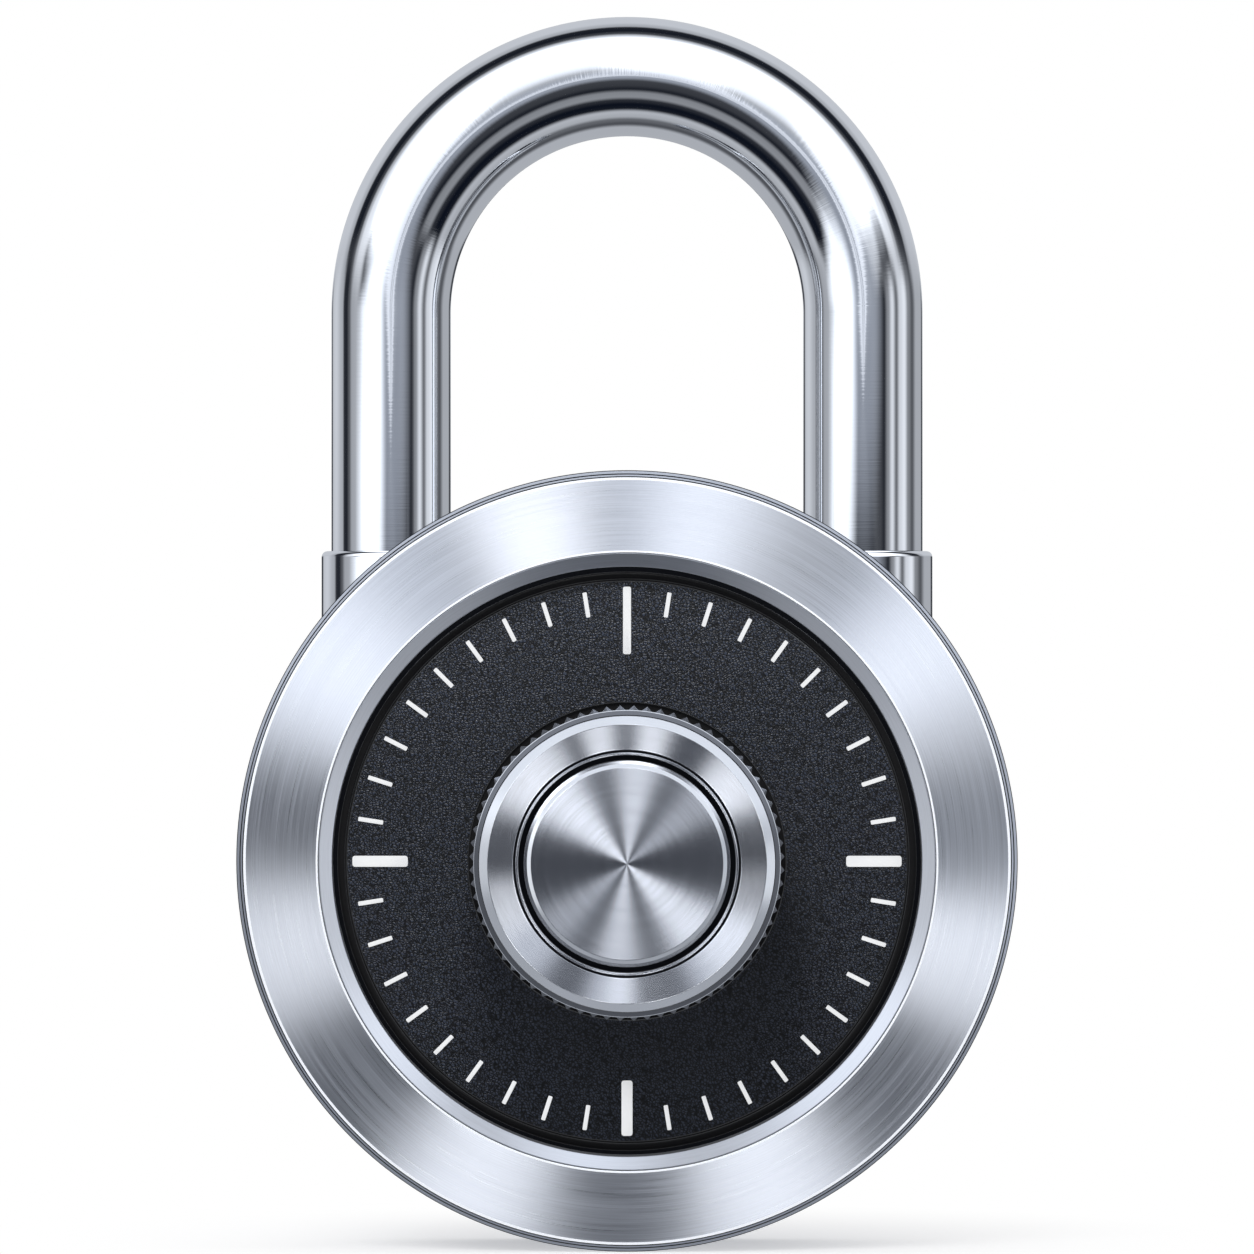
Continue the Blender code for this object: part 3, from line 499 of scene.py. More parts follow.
def polished_bar(name, color):
    """Polished metal with hair-fine buffing lines across the bar."""
    material, paint = new_paint(name)
    x, y, z = paint.place()
    above = z - ARCH_Z
    turn = paint.node("ShaderNodeMath", {"operation": "ARCTAN2"}, {0: x, 1: above})
    from_top = paint.node("ShaderNodeMath", {"operation": "ABSOLUTE"}, {0: turn})
    in_arch = above > 0
    along = (math.pi / 2 - from_top) * LEG_X * in_arch + above * (1 - in_arch)
    lines = paint.noise(paint.vector(along / BUFF_WIDTH, x / BUFF_RUN, y / BUFF_RUN))
    cloud = paint.noise(paint.vector(x, y, z), scale=160.0)
    base = paint.blend(cloud, scaled(color, 0.97), scaled(color, 1.03))
    normal = paint.bump(lines, strength=0.12, distance=0.01 * MM)
    paint.surface(
        paint.shader(Base_Color=base, Metallic=1.0, Roughness=0.03 + cloud * 0.04, Normal=normal)
    )
    return material


def grained_plastic(name, color):
    """Black plastic moulded with a fine leathery grain."""
    material, paint = new_paint(name)
    x, y, z = paint.place()
    spot = paint.vector(x, y, z)
    shift = paint.noise(spot, scale=2600.0) * (0.25 * MM)
    cells = {"Vector": paint.vector(x + shift, y - shift, z), "Scale": 6000.0}
    wrinkle = paint.node("ShaderNodeTexVoronoi", {"feature": "DISTANCE_TO_EDGE"}, cells, "Distance")
    fine = paint.noise(spot, scale=7500.0, roughness=0.6)
    grain = paint.step(wrinkle, 0.0, 0.3) * 0.55 + fine * 0.45
    base = paint.blend(paint.step(grain, 0.25, 0.85), scaled(color, 0.1), scaled(color, 2.1))
    normal = paint.bump(grain, strength=0.6, distance=0.07 * MM)
    paint.surface(
        paint.shader(Base_Color=base, Roughness=0.52 - grain * 0.12, Specular_IOR_Level=0.35, Normal=normal)
    )
    return material


def smooth_paint(name, color, shine):
    """Printing ink or smooth plastic, a little uneven."""
    material, paint = new_paint(name)
    x, y, z = paint.place()
    cloud = paint.noise(paint.vector(x, y, z), scale=1800.0, detail=3.0)
    base = paint.blend(cloud, scaled(color, 0.95), scaled(color, 1.04))
    normal = paint.bump(cloud, strength=0.1, distance=0.01 * MM)
    paint.surface(
        paint.shader(Base_Color=base, Roughness=0.45 + cloud * 0.15, Specular_IOR_Level=shine, Normal=normal)
    )
    return material


def machined_metal(name, color, roughness, grain, contrast=0.12):
    """Plain machined or cast metal with a fine grain."""
    material, paint = new_paint(name)
    x, y, z = paint.place()
    spot = paint.vector(x, y, z)
    fine = paint.noise(spot, scale=1.0 / grain, detail=3.0, roughness=0.6)
    stain = paint.noise(spot, scale=180.0)
    mask = paint.step(fine * 0.6 + stain * 0.4, 0.3, 0.7)
    base = paint.blend(mask, scaled(color, 1.0 - contrast), scaled(color, 1.0 + contrast))
    normal = paint.bump(fine, strength=0.25, distance=0.02 * MM)
    paint.surface(
        paint.shader(
            Base_Color=base, Metallic=1.0, Roughness=roughness + (stain - 0.5) * 0.12, Normal=normal
        )
    )
    return material


def rounded(corners):
    """A profile through corners of (radius, height, round), each round drawn as an arc."""
    points = []
    for i, (radius, height, size) in enumerate(corners):
        corner = Vector((radius, height))
        if size == 0:
            points.append(corner)
            continue
        before, after = corners[i - 1], corners[(i + 1) % len(corners)]
        back = Vector(before[:2]) - corner
        ahead = Vector(after[:2]) - corner
        half = back.angle(ahead) / 2
        back_room = back.length * (SHARED_SIDE if before[2] else FREE_SIDE)
        ahead_room = ahead.length * (SHARED_SIDE if after[2] else FREE_SIDE)
        run = min(size / math.tan(half), back_room, ahead_room)
        back.normalize()
        ahead.normalize()
        center = corner + (back + ahead).normalized() * (run / math.cos(half))
        start = corner + back * run - center
        end = corner + ahead * run - center
        sweep = start.angle(end)
        points.append(corner + back * (run + GUARD))
        for step in range(ROUND_STEPS + 1):
            share_done = step / ROUND_STEPS
            arc = start * math.sin((1 - share_done) * sweep) + end * math.sin(share_done * sweep)
            points.append(center + arc / math.sin(sweep))
        points.append(corner + ahead * (run + GUARD))
    return points


def turned(corners, sides=TURN_SIDES):
    """A turned solid about Z. A profile that starts on the axis is solid and any other is a ring."""
    bm = bmesh.new()
    verts = [bm.verts.new((radius, 0, height)) for radius, height in rounded(corners)]
    edges = [bm.edges.new(pair) for pair in zip(verts, verts[1:])]
    if corners[0][0] > 0:
        edges.append(bm.edges.new((verts[-1], verts[0])))
    bmesh.ops.spin(
        bm, geom=verts + edges, cent=(0, 0, 0), axis=(0, 0, 1), angle=math.tau, steps=sides, use_merge=True
    )
    bmesh.ops.remove_doubles(bm, verts=bm.verts, dist=WELD)
    return bm


def bridge(bm, rings):
    """Joins each ring of points to the next with four-sided faces."""
    for lower, upper in zip(rings, rings[1:]):
        count = len(lower)
        for i in range(count):
            j = (i + 1) % count
            bm.faces.new((lower[i], lower[j], upper[j], upper[i]))


def add_piece(name, bm, material, location=(0, 0, 0), facing=False, sharp=SHARP_ANGLE):
    """Makes an object of a bmesh; a facing piece is laid over so that its axis points at the viewer."""
    bmesh.ops.recalc_face_normals(bm, faces=bm.faces)
    mesh = bpy.data.meshes.new(name)
    bm.to_mesh(mesh)
    bm.free()
    mesh.shade_smooth()
    mesh.set_sharp_from_angle(angle=math.radians(sharp))
    piece = bpy.data.objects.new(name, mesh)
    piece.data.materials.append(material)
    piece.location = location
    if facing:
        piece.rotation_euler = (math.pi / 2, 0, 0)
    bpy.context.scene.collection.objects.link(piece)
    return piece


def cut(piece, cutters):
    """Cuts other objects from a piece, for good, and removes them."""
    for cutter in cutters:
        modifier = piece.modifiers.new(cutter.name, "BOOLEAN")
        modifier.operation = "DIFFERENCE"
        modifier.solver = "EXACT"
        modifier.object = cutter
    evaluated = piece.evaluated_get(bpy.context.evaluated_depsgraph_get())
    mesh = bpy.data.meshes.new_from_object(evaluated)
    piece.modifiers.clear()
    piece.data = mesh
    mesh.shade_smooth()
    mesh.set_sharp_from_angle(angle=math.radians(SHARP_ANGLE))
    for cutter in cutters:
        bpy.data.objects.remove(cutter)


def repaint(piece, material, radii, heights):
    """Gives the faces between two radii and two heights of a turned piece another material, which is a
    finish on the bezel's rim and painted shade or painted highlight elsewhere.
    """
    if material.name not in piece.data.materials:
        piece.data.materials.append(material)
    slot = piece.data.materials.find(material.name)
    slack = GUARD / 10
    near, far = radii[0] - slack, radii[1] + slack
    low, high = heights[0] - slack, heights[1] + slack
    for face in piece.data.polygons:
        if near < face.center.xy.length < far and low < face.center.z < high:
            face.material_index = slot


def seat(piece, body, slot, *nodes):
    """Hangs a piece on its body and hides the nodes that it stands for; the slot sets only whether the piece
    shows in reflections.

    Only the chrome pieces show in each other; the studio fills the other reflections.
    """
    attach(piece, body)
    piece.visible_glossy = slot == "chrome"
    if nodes:
        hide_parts(*nodes)


def box_mesh(low, high):
    bm = bmesh.new()
    bmesh.ops.create_cube(bm, size=1.0)
    size = Vector(high) - Vector(low)
    bmesh.ops.scale(bm, vec=size, verts=bm.verts)
    bmesh.ops.translate(bm, vec=(Vector(high) + Vector(low)) / 2, verts=bm.verts)
    return bm


class PADLOCK_OT_case(bpy.types.Operator):
    """Add the case tube, the back cover and the rivets"""

    bl_idname = "padlock.case"
    bl_label = "Case"

    def execute(self, context):
        settings = context.scene.padlock.case
        tube_metal = spun_metal(
            "case_tube_steel", settings.color, roughness=0.3, anisotropy=0.5, contrast=0.06
        )
        cover_metal = spun_metal(
            "cover_steel", settings.color, roughness=0.32, anisotropy=0.75, contrast=0.08,
            streak=0.14 * MM, run=4.0,
        )
        self.add_tube(settings, tube_metal)
        self.add_cover(settings, cover_metal)
        return {"FINISHED"}

    def add_tube(self, settings, material):
        inner = CASE_RADIUS - settings.wall
        edge = settings.edge_round
        corners = [(inner, CASE_REAR, edge), (CASE_RADIUS, CASE_REAR, settings.rear_round)]
        for i in range(1, TUBE_ROWS):
            part = TUBE_ROWS_START + TUBE_ROWS_SPAN * i / TUBE_ROWS
            corners.append((CASE_RADIUS, CASE_REAR + (CASE_FRONT - CASE_REAR) * part, 0))
        corners += [(CASE_RADIUS, CASE_FRONT, edge), (inner, CASE_FRONT, edge)]
        tube = add_piece("case_tube", turned(corners), material, facing=True)
        cutters = []
        for node in ("heel_collar", "toe_collar"):
            low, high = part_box(node)
            radius = (high.x - low.x) / 2 + settings.bore_gap
            center = middle(node)
            corners = [(0, 0, 0), (radius, 0, 0), (radius, high.z * 2, 0), (0, high.z * 2, 0)]
            place = (center.x, center.y, 0)
            cutters.append(add_piece(f"bore_{node}", turned(corners, BORE_SIDES), material, place))
        cut(tube, cutters)
        seat(tube, "case", "case_steel", "case_shell")

    def add_cover(self, settings, material):
        edge = settings.edge_round
        corners = [(0, COVER_REAR, 0), (COVER_RADIUS, COVER_REAR, edge * 2)]
        corners += [(COVER_RADIUS, COVER_FRONT, edge), (0, COVER_FRONT, 0)]
        cover = add_piece("cover_disc", turned(corners), material, facing=True)
        cutters = []
        for i in (1, 2, 3):
            node = f"case_rivet_{i}"
            low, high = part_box(node)
            center = middle(node)
            head = (high.x - low.x) / 2
            rear, front = rear_and_front(node)
            seat_radius = head + edge
            stem = head / 2
            place = (center.x, 0, center.z)
            deep = COVER_FRONT - rear
            corners = [(0, -edge * 4, 0), (seat_radius + edge, -edge * 4, 0), (seat_radius + edge, 0, 0)]
            corners += [(seat_radius, edge, 0), (stem + edge, deep, 0), (stem + edge, COVER_FRONT * 2, 0)]
            corners += [(0, COVER_FRONT * 2, 0)]
            cutters.append(add_piece(f"sink_{i}", turned(corners, RIVET_SIDES), material, place, True))
            dome = settings.rivet_dome
            corners = [(0, rear - dome, 0), (head * CROWN_RADIUS, rear - dome * CROWN_DROP, 0)]
            corners += [(head, rear, edge), (stem, deep, 0), (stem, front, edge), (0, front, 0)]
            rivet = add_piece(f"rivet_{i}", turned(corners, RIVET_SIDES), material, place, True)
            seat(rivet, "case", "case_steel", node)
        cut(cover, cutters)
        seat(cover, "case", "case_steel", "back_cover")


class PADLOCK_OT_bezel(bpy.types.Operator):
    """Add the brushed cone ring round the dial"""

    bl_idname = "padlock.bezel"
    bl_label = "Bezel"

    def execute(self, context):
        settings = context.scene.padlock.bezel
        edge = settings.edge_round
        opening = DIAL_RADIUS + settings.opening_gap
        crest = opening + settings.lip_width
        face_rear = BEZEL_FRONT - settings.rise
        face_edge = CASE_RADIUS - settings.face_edge
        line, deep = settings.line_width, settings.line_depth
        slope = math.tan(settings.edge_slope)
        rim = face_rear - settings.face_edge * slope
        corners = [(settings.seat_radius, BEZEL_REAR, 0), (CASE_RADIUS, BEZEL_REAR, edge)]
        corners.append((CASE_RADIUS, rim, edge))
        grooves = []
        starts = [CASE_RADIUS - settings.face_edge * part for part in RIM_LINES]
        for start in starts:
            level = face_rear - (start - face_edge) * slope
            bottom = level - deep
            end = start - line
            land = face_rear if start == starts[-1] else level + line * slope
            corners += [(start, level, 0), (start, bottom, 0), (end, bottom, 0), (end, land, 0)]
            grooves.append(((end, start), (bottom, level - edge)))
        seat_level = BEZEL_REAR + settings.step
        joint = crest - settings.crest_width
        corners += [(face_edge, face_rear, 0), (crest, BEZEL_FRONT, 0), (joint, BEZEL_FRONT, edge / 3)]
        corners += [(joint, seat_level, 0), (settings.seat_radius, seat_level, 0)]
        metal = spun_metal(
            "bezel_metal", settings.color, roughness=0.32, anisotropy=0.95, contrast=0.14,
            streak=0.06 * MM, run=2.2, relief=0.07,
        )
        bezel = add_piece("bezel_ring", turned(corners), metal, facing=True, sharp=12.0)
        # A lighter copy of the brushed metal, polished, laid on the crest and the edges: painted highlight.
        bright = spun_metal(
            "edge_metal", settings.edge_highlight_and_shade, roughness=0.2, anisotropy=0.3, contrast=0.03, relief=0.0
        )
        # Near-black metal in the lines, the gaps and the walls under edges: painted shade.
        painted_shade = machined_metal("gap_metal", settings.gap_shade_color, roughness=0.6, grain=0.2 * MM)
        side = spun_metal(
            "rim_metal", settings.color, roughness=0.3, anisotropy=0.0, contrast=0.05, relief=0.0
        )
        repaint(bezel, side, (starts[-1], CASE_RADIUS), (BEZEL_REAR, face_rear))
        # Painted highlight on the flat ring inside the rim and on the crest.
        repaint(bezel, bright, (face_edge, starts[-1] - line), (face_rear, face_rear))
        repaint(bezel, bright, (joint, crest), (BEZEL_FRONT, BEZEL_FRONT))
        # Painted shade on the wall under the crest, in the two fine lines and on the rim's outer corner.
        repaint(bezel, painted_shade, (joint, joint), (seat_level, BEZEL_FRONT - edge / 2))
        for groove in grooves:
            repaint(bezel, painted_shade, *groove)
        repaint(bezel, painted_shade, (CASE_RADIUS - edge * 0.7, CASE_RADIUS), (rim - edge / 2, rim + edge))
        seat(bezel, "case", "brushed_steel", "front_bezel")
        self.add_lip(settings, painted_shade, opening, joint - edge / 2, seat_level)
        return {"FINISHED"}

    def add_lip(self, settings, painted_shade, opening, outer, seat_level):
        """The lip that falls towards the dial, with a shelf under the dial's edge that is painted dark as
        shade.
        """
        edge = settings.edge_round
        shelf_level = (seat_level + DIAL_REAR) / 2
        shelf_radius = opening - settings.shelf
        lip_level = BEZEL_FRONT - settings.lip_drop
        outer_level = BEZEL_FRONT - settings.lip_drop * (settings.crest_width + edge) / settings.lip_width
        corners = [(shelf_radius, seat_level, 0), (outer, seat_level, 0), (outer, outer_level, edge / 2)]
        corners += [(opening, lip_level, edge), (opening, shelf_level, 0), (shelf_radius, shelf_level, 0)]
        metal = spun_metal("lip_metal", settings.color, roughness=0.3, anisotropy=0.6, contrast=0.06)
        lip = add_piece("lip_ring", turned(corners), metal, facing=True)
        # Painted shade on the shelf and on the lip's outer wall.
        repaint(lip, painted_shade, (shelf_radius, opening), (seat_level, lip_level - edge))
        repaint(lip, painted_shade, (outer, outer), (seat_level, outer_level - edge / 2))
        seat(lip, "case", "brushed_steel")


def mark_outline(inner, outer, width):
    """A bar with rounded corners along Y, from one radius to another."""
    corner = width * MARK_CORNER
    side = width / 2 - corner
    high, low = outer - corner, inner + corner
    points = []
    for quarter, (x, y) in enumerate(((side, high), (-side, high), (-side, low), (side, low))):
        for i in range(ROUND_STEPS + 1):
            angle = math.pi / 2 * (quarter + i / ROUND_STEPS)
            points.append((x + corner * math.cos(angle), y + corner * math.sin(angle)))
    return points


class PADLOCK_OT_dial(bpy.types.Operator):
    """Add the grained dial and its white marks"""

    bl_idname = "padlock.dial"
    bl_label = "Dial"

    def execute(self, context):
        settings = context.scene.padlock.dial
        bead = DIAL_RADIUS - settings.bead
        edge = settings.bead / 4
        face = bead - settings.groove
        bottom = DIAL_FRONT - settings.groove
        shadow_recess = GRIP_RADIUS + settings.shadow_recess
        corners = [(settings.bore, DIAL_REAR, 0), (DIAL_RADIUS, DIAL_REAR, edge)]
        corners += [(DIAL_RADIUS, DIAL_FRONT, settings.bead / 2)]
        corners += [(bead, DIAL_FRONT, edge), (bead - settings.groove / 3, bottom, 0)]
        corners += [(bead - settings.groove * 2 / 3, bottom, 0), (face, DIAL_FRONT, 0)]
        corners += [(shadow_recess, DIAL_FRONT, 0), (shadow_recess - edge / 2, bottom, 0), (settings.bore, bottom, 0)]
        plastic = grained_plastic("dial_grain", settings.color)
        dial = add_piece("dial_face", turned(corners), plastic, facing=True)
        # Near-black paint on the bead, the groove and the sunk ring round the knob: painted shade and the
        # knob's painted shadow, over the dial's own black plastic.
        smooth = smooth_paint("dial_edge", settings.edge_highlight_and_shade, shine=0.2)
        repaint(dial, smooth, (face, DIAL_RADIUS), (DIAL_REAR, DIAL_FRONT))
        repaint(dial, smooth, (settings.bore, shadow_recess), (bottom, DIAL_FRONT - edge / 4))
        seat(dial, "dial", "dial_plastic", "dial")
        marks = self.add_marks(settings)
        seat(marks, "dial", "dial_plastic")
        return {"FINISHED"}

    def add_marks(self, settings):
        bm = bmesh.new()
        quarter = settings.marks // 4
        for i in range(settings.marks):
            outer, run, width = settings.mark_outer, settings.mark_length, settings.mark_width
            if i == 0:
                outer, run, width = settings.main_outer, settings.top_length, settings.top_width
            elif i % quarter == 0:
                outer, run, width = settings.main_outer, settings.main_length, settings.main_width
            turn = Matrix.Rotation(-math.tau * i / settings.marks, 4, "Z")
            self.add_mark(bm, mark_outline(outer - run, outer, width), turn, settings.paint_height)
        paint = smooth_paint("mark_white", settings.paint, shine=0.5)
        return add_piece("dial_marks", bm, paint, facing=True)

    def add_mark(self, bm, outline, turn, height):
        """A low pad with a drawn-in top, so that its edge catches the light as paint does."""
        center = sum((Vector((x, y, 0)) for x, y in outline), Vector()) / len(outline)
        rings = []
        for level, inset in ((-height, 0.0), (height * MARK_SHOULDER, 0.0), (height, height)):
            ring = []
            for x, y in outline:
                point = Vector((x, y, 0))
                point += (center - point).normalized() * inset
                ring.append(bm.verts.new(turn @ (point + Vector((0, 0, DIAL_FRONT + level)))))
            rings.append(ring)
        bridge(bm, rings)
        bm.faces.new(rings[-1])
        bm.faces.new(rings[0][::-1])


class PADLOCK_OT_knob(bpy.types.Operator):
    """Add the knurled grip, the bevelled ring and the spun cap"""

    bl_idname = "padlock.knob"
    bl_label = "Knob"

    def execute(self, context):
        settings = context.scene.padlock.knob
        self.add_grip(settings, context.scene.padlock.dial.bore)
        self.add_ring(settings)
        self.add_cap(settings)
        return {"FINISHED"}

    def band_radius(self, settings):
        return GRIP_RADIUS - settings.knurl + settings.band_lift

    def ring_radius(self, settings):
        return self.band_radius(settings) - settings.trim_edge

    # Near-black metal for grooves, cups and the walls under edges: painted shade.
    def painted_shade(self):
        return bpy.data.materials["gap_metal"]

    # Lighter metal for chamfers and bevels: painted highlight.
    def bright(self):
        return bpy.data.materials["edge_metal"]

    def add_grip(self, settings, bore):
        """Rows of four-sided points, closed by a smooth band in front and a cup inside."""
        bm = bmesh.new()
        root = GRIP_RADIUS - settings.knurl
        band = self.band_radius(settings)
        inside = self.ring_radius(settings) + settings.rim_gap
        columns = 2 * settings.teeth
        rows = 2 * settings.rows
        start = GRIP_REAR + settings.band / 2
        end = GRIP_FRONT - settings.band
        rings = []

        def add_ring(radius, height, pointed=False):
            ring = []
            for i in range(columns):
                angle = math.tau * i / columns
                far = GRIP_RADIUS if pointed and i % 2 else radius
                ring.append(bm.verts.new((far * math.cos(angle), far * math.sin(angle), height)))
            rings.append(ring)

        edge = settings.edge_round
        floor = TRIM_REAR - settings.line_depth
        add_ring(bore, GRIP_REAR)
        add_ring(root - edge, GRIP_REAR)
        add_ring(root, GRIP_REAR + edge)
        for row in range(rows + 1):
            add_ring(root, start + (end - start) * row / rows, row % 2 == 1)
        shoulder = GRIP_FRONT - settings.rim_rise
        for radius, height in (
            (band, end + edge), (band, shoulder - edge), (band - edge, shoulder - edge / 4),
            (inside, GRIP_FRONT), (inside, floor), (bore, floor),
        ):
            add_ring(radius, height)
        bridge(bm, rings + rings[:1])
        bmesh.ops.triangulate(bm, faces=bm.faces)
        metal = spun_metal(
            "grip_metal", settings.grip_color, roughness=0.22, anisotropy=0.0, contrast=0.06, relief=0.0
        )
        grip = add_piece("grip_knurl", bm, metal, facing=True, sharp=25.0)
        # Painted shade in the cup inside the rim, and painted highlight on the band's chamfer.
        repaint(grip, self.painted_shade(), (bore, inside), (floor, GRIP_FRONT - edge))
        chamfer_heights = (shoulder - edge * 0.8, shoulder - edge / 2)
        repaint(grip, self.bright(), (band - edge, band), chamfer_heights)
        seat(grip, "dial", "knob_dark_metal", "knob_grip")

    def add_ring(self, settings):
        edge = settings.edge_round
        outer = self.ring_radius(settings)
        face = outer - settings.bevel
        inner = CAP_RADIUS + settings.cap_gap
        line_outer = inner + settings.inner_ring + settings.line
        line_inner = line_outer - settings.line
        foot = TRIM_FRONT - settings.bevel_rise
        inner_level = TRIM_FRONT - settings.ring_fall
        groove = inner_level - settings.line_depth
        corners = [(inner, TRIM_REAR, 0), (outer, TRIM_REAR, 0), (outer, foot, edge)]
        corners += [(face, TRIM_FRONT, edge), (line_outer, inner_level, edge)]
        corners += [(line_outer, groove, 0), (line_inner, groove, 0)]
        corners += [(line_inner, inner_level, edge), (inner, inner_level, edge)]
        metal = spun_metal(
            "ring_metal", settings.ring_color, roughness=0.21, anisotropy=1.0, contrast=0.035,
            streak=0.06 * MM, relief=0.0,
        )
        ring = add_piece("bevel_ring", turned(corners), metal, facing=True, sharp=20.0)
        # Painted shade in the dark line and on the ring's inner and outer walls, and painted highlight on
        # the bevel.
        repaint(ring, self.painted_shade(), (line_inner, line_outer), (groove, inner_level - edge))
        repaint(ring, self.painted_shade(), (inner, inner), (TRIM_REAR, inner_level - edge))
        repaint(ring, self.painted_shade(), (outer, outer), (TRIM_REAR, foot - edge))
        repaint(ring, self.bright(), (face, outer), (foot, TRIM_FRONT))
        seat(ring, "dial", "brushed_steel", "knob_bevel_ring")

    def add_cap(self, settings):
        edge = settings.edge_round
        step = CAP_RADIUS - settings.cap_step
        flat = step - settings.cap_chamfer
        shoulder = CAP_FRONT - settings.cap_rise
        corners = [(0, CAP_REAR, 0), (CAP_RADIUS - edge, CAP_REAR, 0), (CAP_RADIUS, CAP_REAR + edge, 0)]
        corners += [(CAP_RADIUS, shoulder - edge, edge), (step, shoulder, edge / 2)]
        corners += [(flat, CAP_FRONT, edge), (0, CAP_FRONT, 0)]
        metal = spun_metal(
            "cap_metal", settings.cap_color, roughness=0.24, anisotropy=1.0, contrast=0.06,
            streak=0.06 * MM, run=0.9, relief=0.0,
        )
        cap = add_piece("spun_cap", turned(corners), metal, facing=True, sharp=20.0)
        # Painted shade on the cap's side, and painted highlight on its chamfer.
        repaint(cap, self.painted_shade(), (CAP_RADIUS - edge / 2, CAP_RADIUS), (CAP_REAR, shoulder - edge))
        repaint(cap, self.bright(), (flat, step), (shoulder, CAP_FRONT))
        seat(cap, "dial", "brushed_steel", "knob_cap")


class PADLOCK_OT_shackle(bpy.types.Operator):
    """Add the polished shackle and the ferrules at its legs"""

    bl_idname = "padlock.shackle"
    bl_label = "Shackle"

    def execute(self, context):
        settings = context.scene.padlock.shackle
        chrome = polished_bar("shackle_chrome", settings.color)
        self.add_bar(settings, chrome)
        for name, node in (("heel_ferrule", "heel_collar"), ("toe_ferrule", "toe_collar")):
            self.add_ferrule(settings, chrome, name, node)
        return {"FINISHED"}

    def path(self, settings):
        """Stations of (point, direction, radius) from the heel's end over the arch to the toe's end."""
        tip = settings.tip_round
        stations = []

        def leg_end(x, end, way):
            """The rounded end of a leg, from the straight bar out to the tip."""
            for i in range(ROUND_STEPS + 1):
                angle = math.pi / 2 * i / ROUND_STEPS
                height = end + tip * (1 - math.sin(angle))
                radius = BAR_RADIUS - tip * (1 - math.cos(angle))
                stations.append((Vector((x, BAR_Y, height)), way, radius))

        up = Vector((0, 0, 1))
        leg_end(-LEG_X, SHACKLE_LOW.z, up)
        stations.reverse()
        for i in range(ARCH_STEPS + 1):
            angle = math.pi * i / ARCH_STEPS
            point = Vector((-LEG_X * math.cos(angle), BAR_Y, ARCH_Z + LEG_X * math.sin(angle)))
            stations.append((point, Vector((math.sin(angle), 0, math.cos(angle))), BAR_RADIUS))
        leg_end(LEG_X, settings.toe_end, -up)
        return stations

    def add_bar(self, settings, material):
        bm = bmesh.new()
        rings = []
        for point, along, radius in self.path(settings):
            side = along.cross(Vector((0, 1, 0)))
            ring = []
            for i in range(BAR_SIDES):
                angle = math.tau * i / BAR_SIDES
                offset = side * math.cos(angle) + Vector((0, math.sin(angle), 0))
                ring.append(bm.verts.new(point + offset * radius))
            rings.append(ring)
        bridge(bm, rings)
        bm.faces.new(rings[0])
        bm.faces.new(rings[-1][::-1])
        bar = add_piece("shackle_bar", bm, material)
        inner = LEG_X - BAR_RADIUS
        far = 2 * BAR_RADIUS
        notch = settings.toe_end + settings.notch_low
        slot = SHACKLE_LOW.z + settings.slot_low
        toe_box = (
            (inner - far, BAR_Y - far, notch),
            (inner + settings.notch_depth, BAR_Y + far, notch + settings.notch_height),
        )
        heel_box = (
            (-inner - settings.slot_depth, BAR_Y - far, slot),
            (far - inner, BAR_Y + far, slot + settings.slot_height),
        )
        cutters = [
            add_piece("toe_notch_tool", box_mesh(*toe_box), material),
            add_piece("heel_slot_tool", box_mesh(*heel_box), material),
        ]
        cut(bar, cutters)
        seat(bar, "shackle", "chrome", "shackle")

    def add_ferrule(self, settings, material, name, node):
        low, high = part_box(node)
        center = middle(node)
        radius = (high.y - low.y) / 2
        inner = radius - settings.ferrule_wall
        top = settings.ferrule_round
        corners = [(inner, low.z, 0), (radius, low.z, 0), (radius, high.z, top), (inner, high.z, 0)]
        ferrule = add_piece(name, turned(corners, FERRULE_SIDES), material, (center.x, center.y, 0))
        seat(ferrule, "case", "chrome", node)


class PADLOCK_OT_works(bpy.types.Operator):
    """Give the pieces inside the case their finishes"""

    bl_idname = "padlock.works"
    bl_label = "Inner works"

    def execute(self, context):
        settings = context.scene.padlock.works
        finishes = {
            "zinc_casting": machined_metal(
                "cast_zinc", settings.zinc, roughness=0.52, grain=0.35 * MM, contrast=0.2
            ),
            "brass": machined_metal("turned_brass", settings.brass, roughness=0.3, grain=0.2 * MM),
            "spring_steel": machined_metal("spring_steel", settings.spring, roughness=0.3, grain=0.15 * MM),
            "case_steel": machined_metal("turned_steel", settings.steel, roughness=0.3, grain=0.2 * MM),
        }
        for slot, nodes in INNER_NODES.items():
            for node in nodes:
                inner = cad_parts[node]
                inner.data.materials.clear()
                inner.data.materials.append(finishes[slot])
                inner.visible_glossy = False
        return {"FINISHED"}


# Share of white in the studio, from the viewer's side round to behind the lock: degrees, share.
TOP_WALL = (
    (0, 0.25), (5, 0.56), (13, 0.84), (20, 0.95), (69, 1.0), (78, 0.9), (84, 0.5), (90, 0.05), (97, 0.006),
    (106, 0.012), (112, 0.45), (126, 0.62),
)
RIGHT_WALL = (
    (0, 0.02), (10, 0.02), (25, 0.08), (33, 0.06), (41, 0.02), (49, 0.28), (58, 0.8), (67, 0.16),
    (76, 0.74), (86, 0.9), (97, 0.26), (109, 0.1), (124, 0.44), (147, 0.44), (157, 0.04),
)
LEFT_WALL = (
    (0, 0.02), (12, 0.02), (40, 0.04), (60, 0.2), (70, 0.45), (80, 0.4), (88, 0.1), (94, 0.015),
    (101, 0.02), (108, 0.45), (131, 0.66), (147, 0.6), (157, 0.04),
)
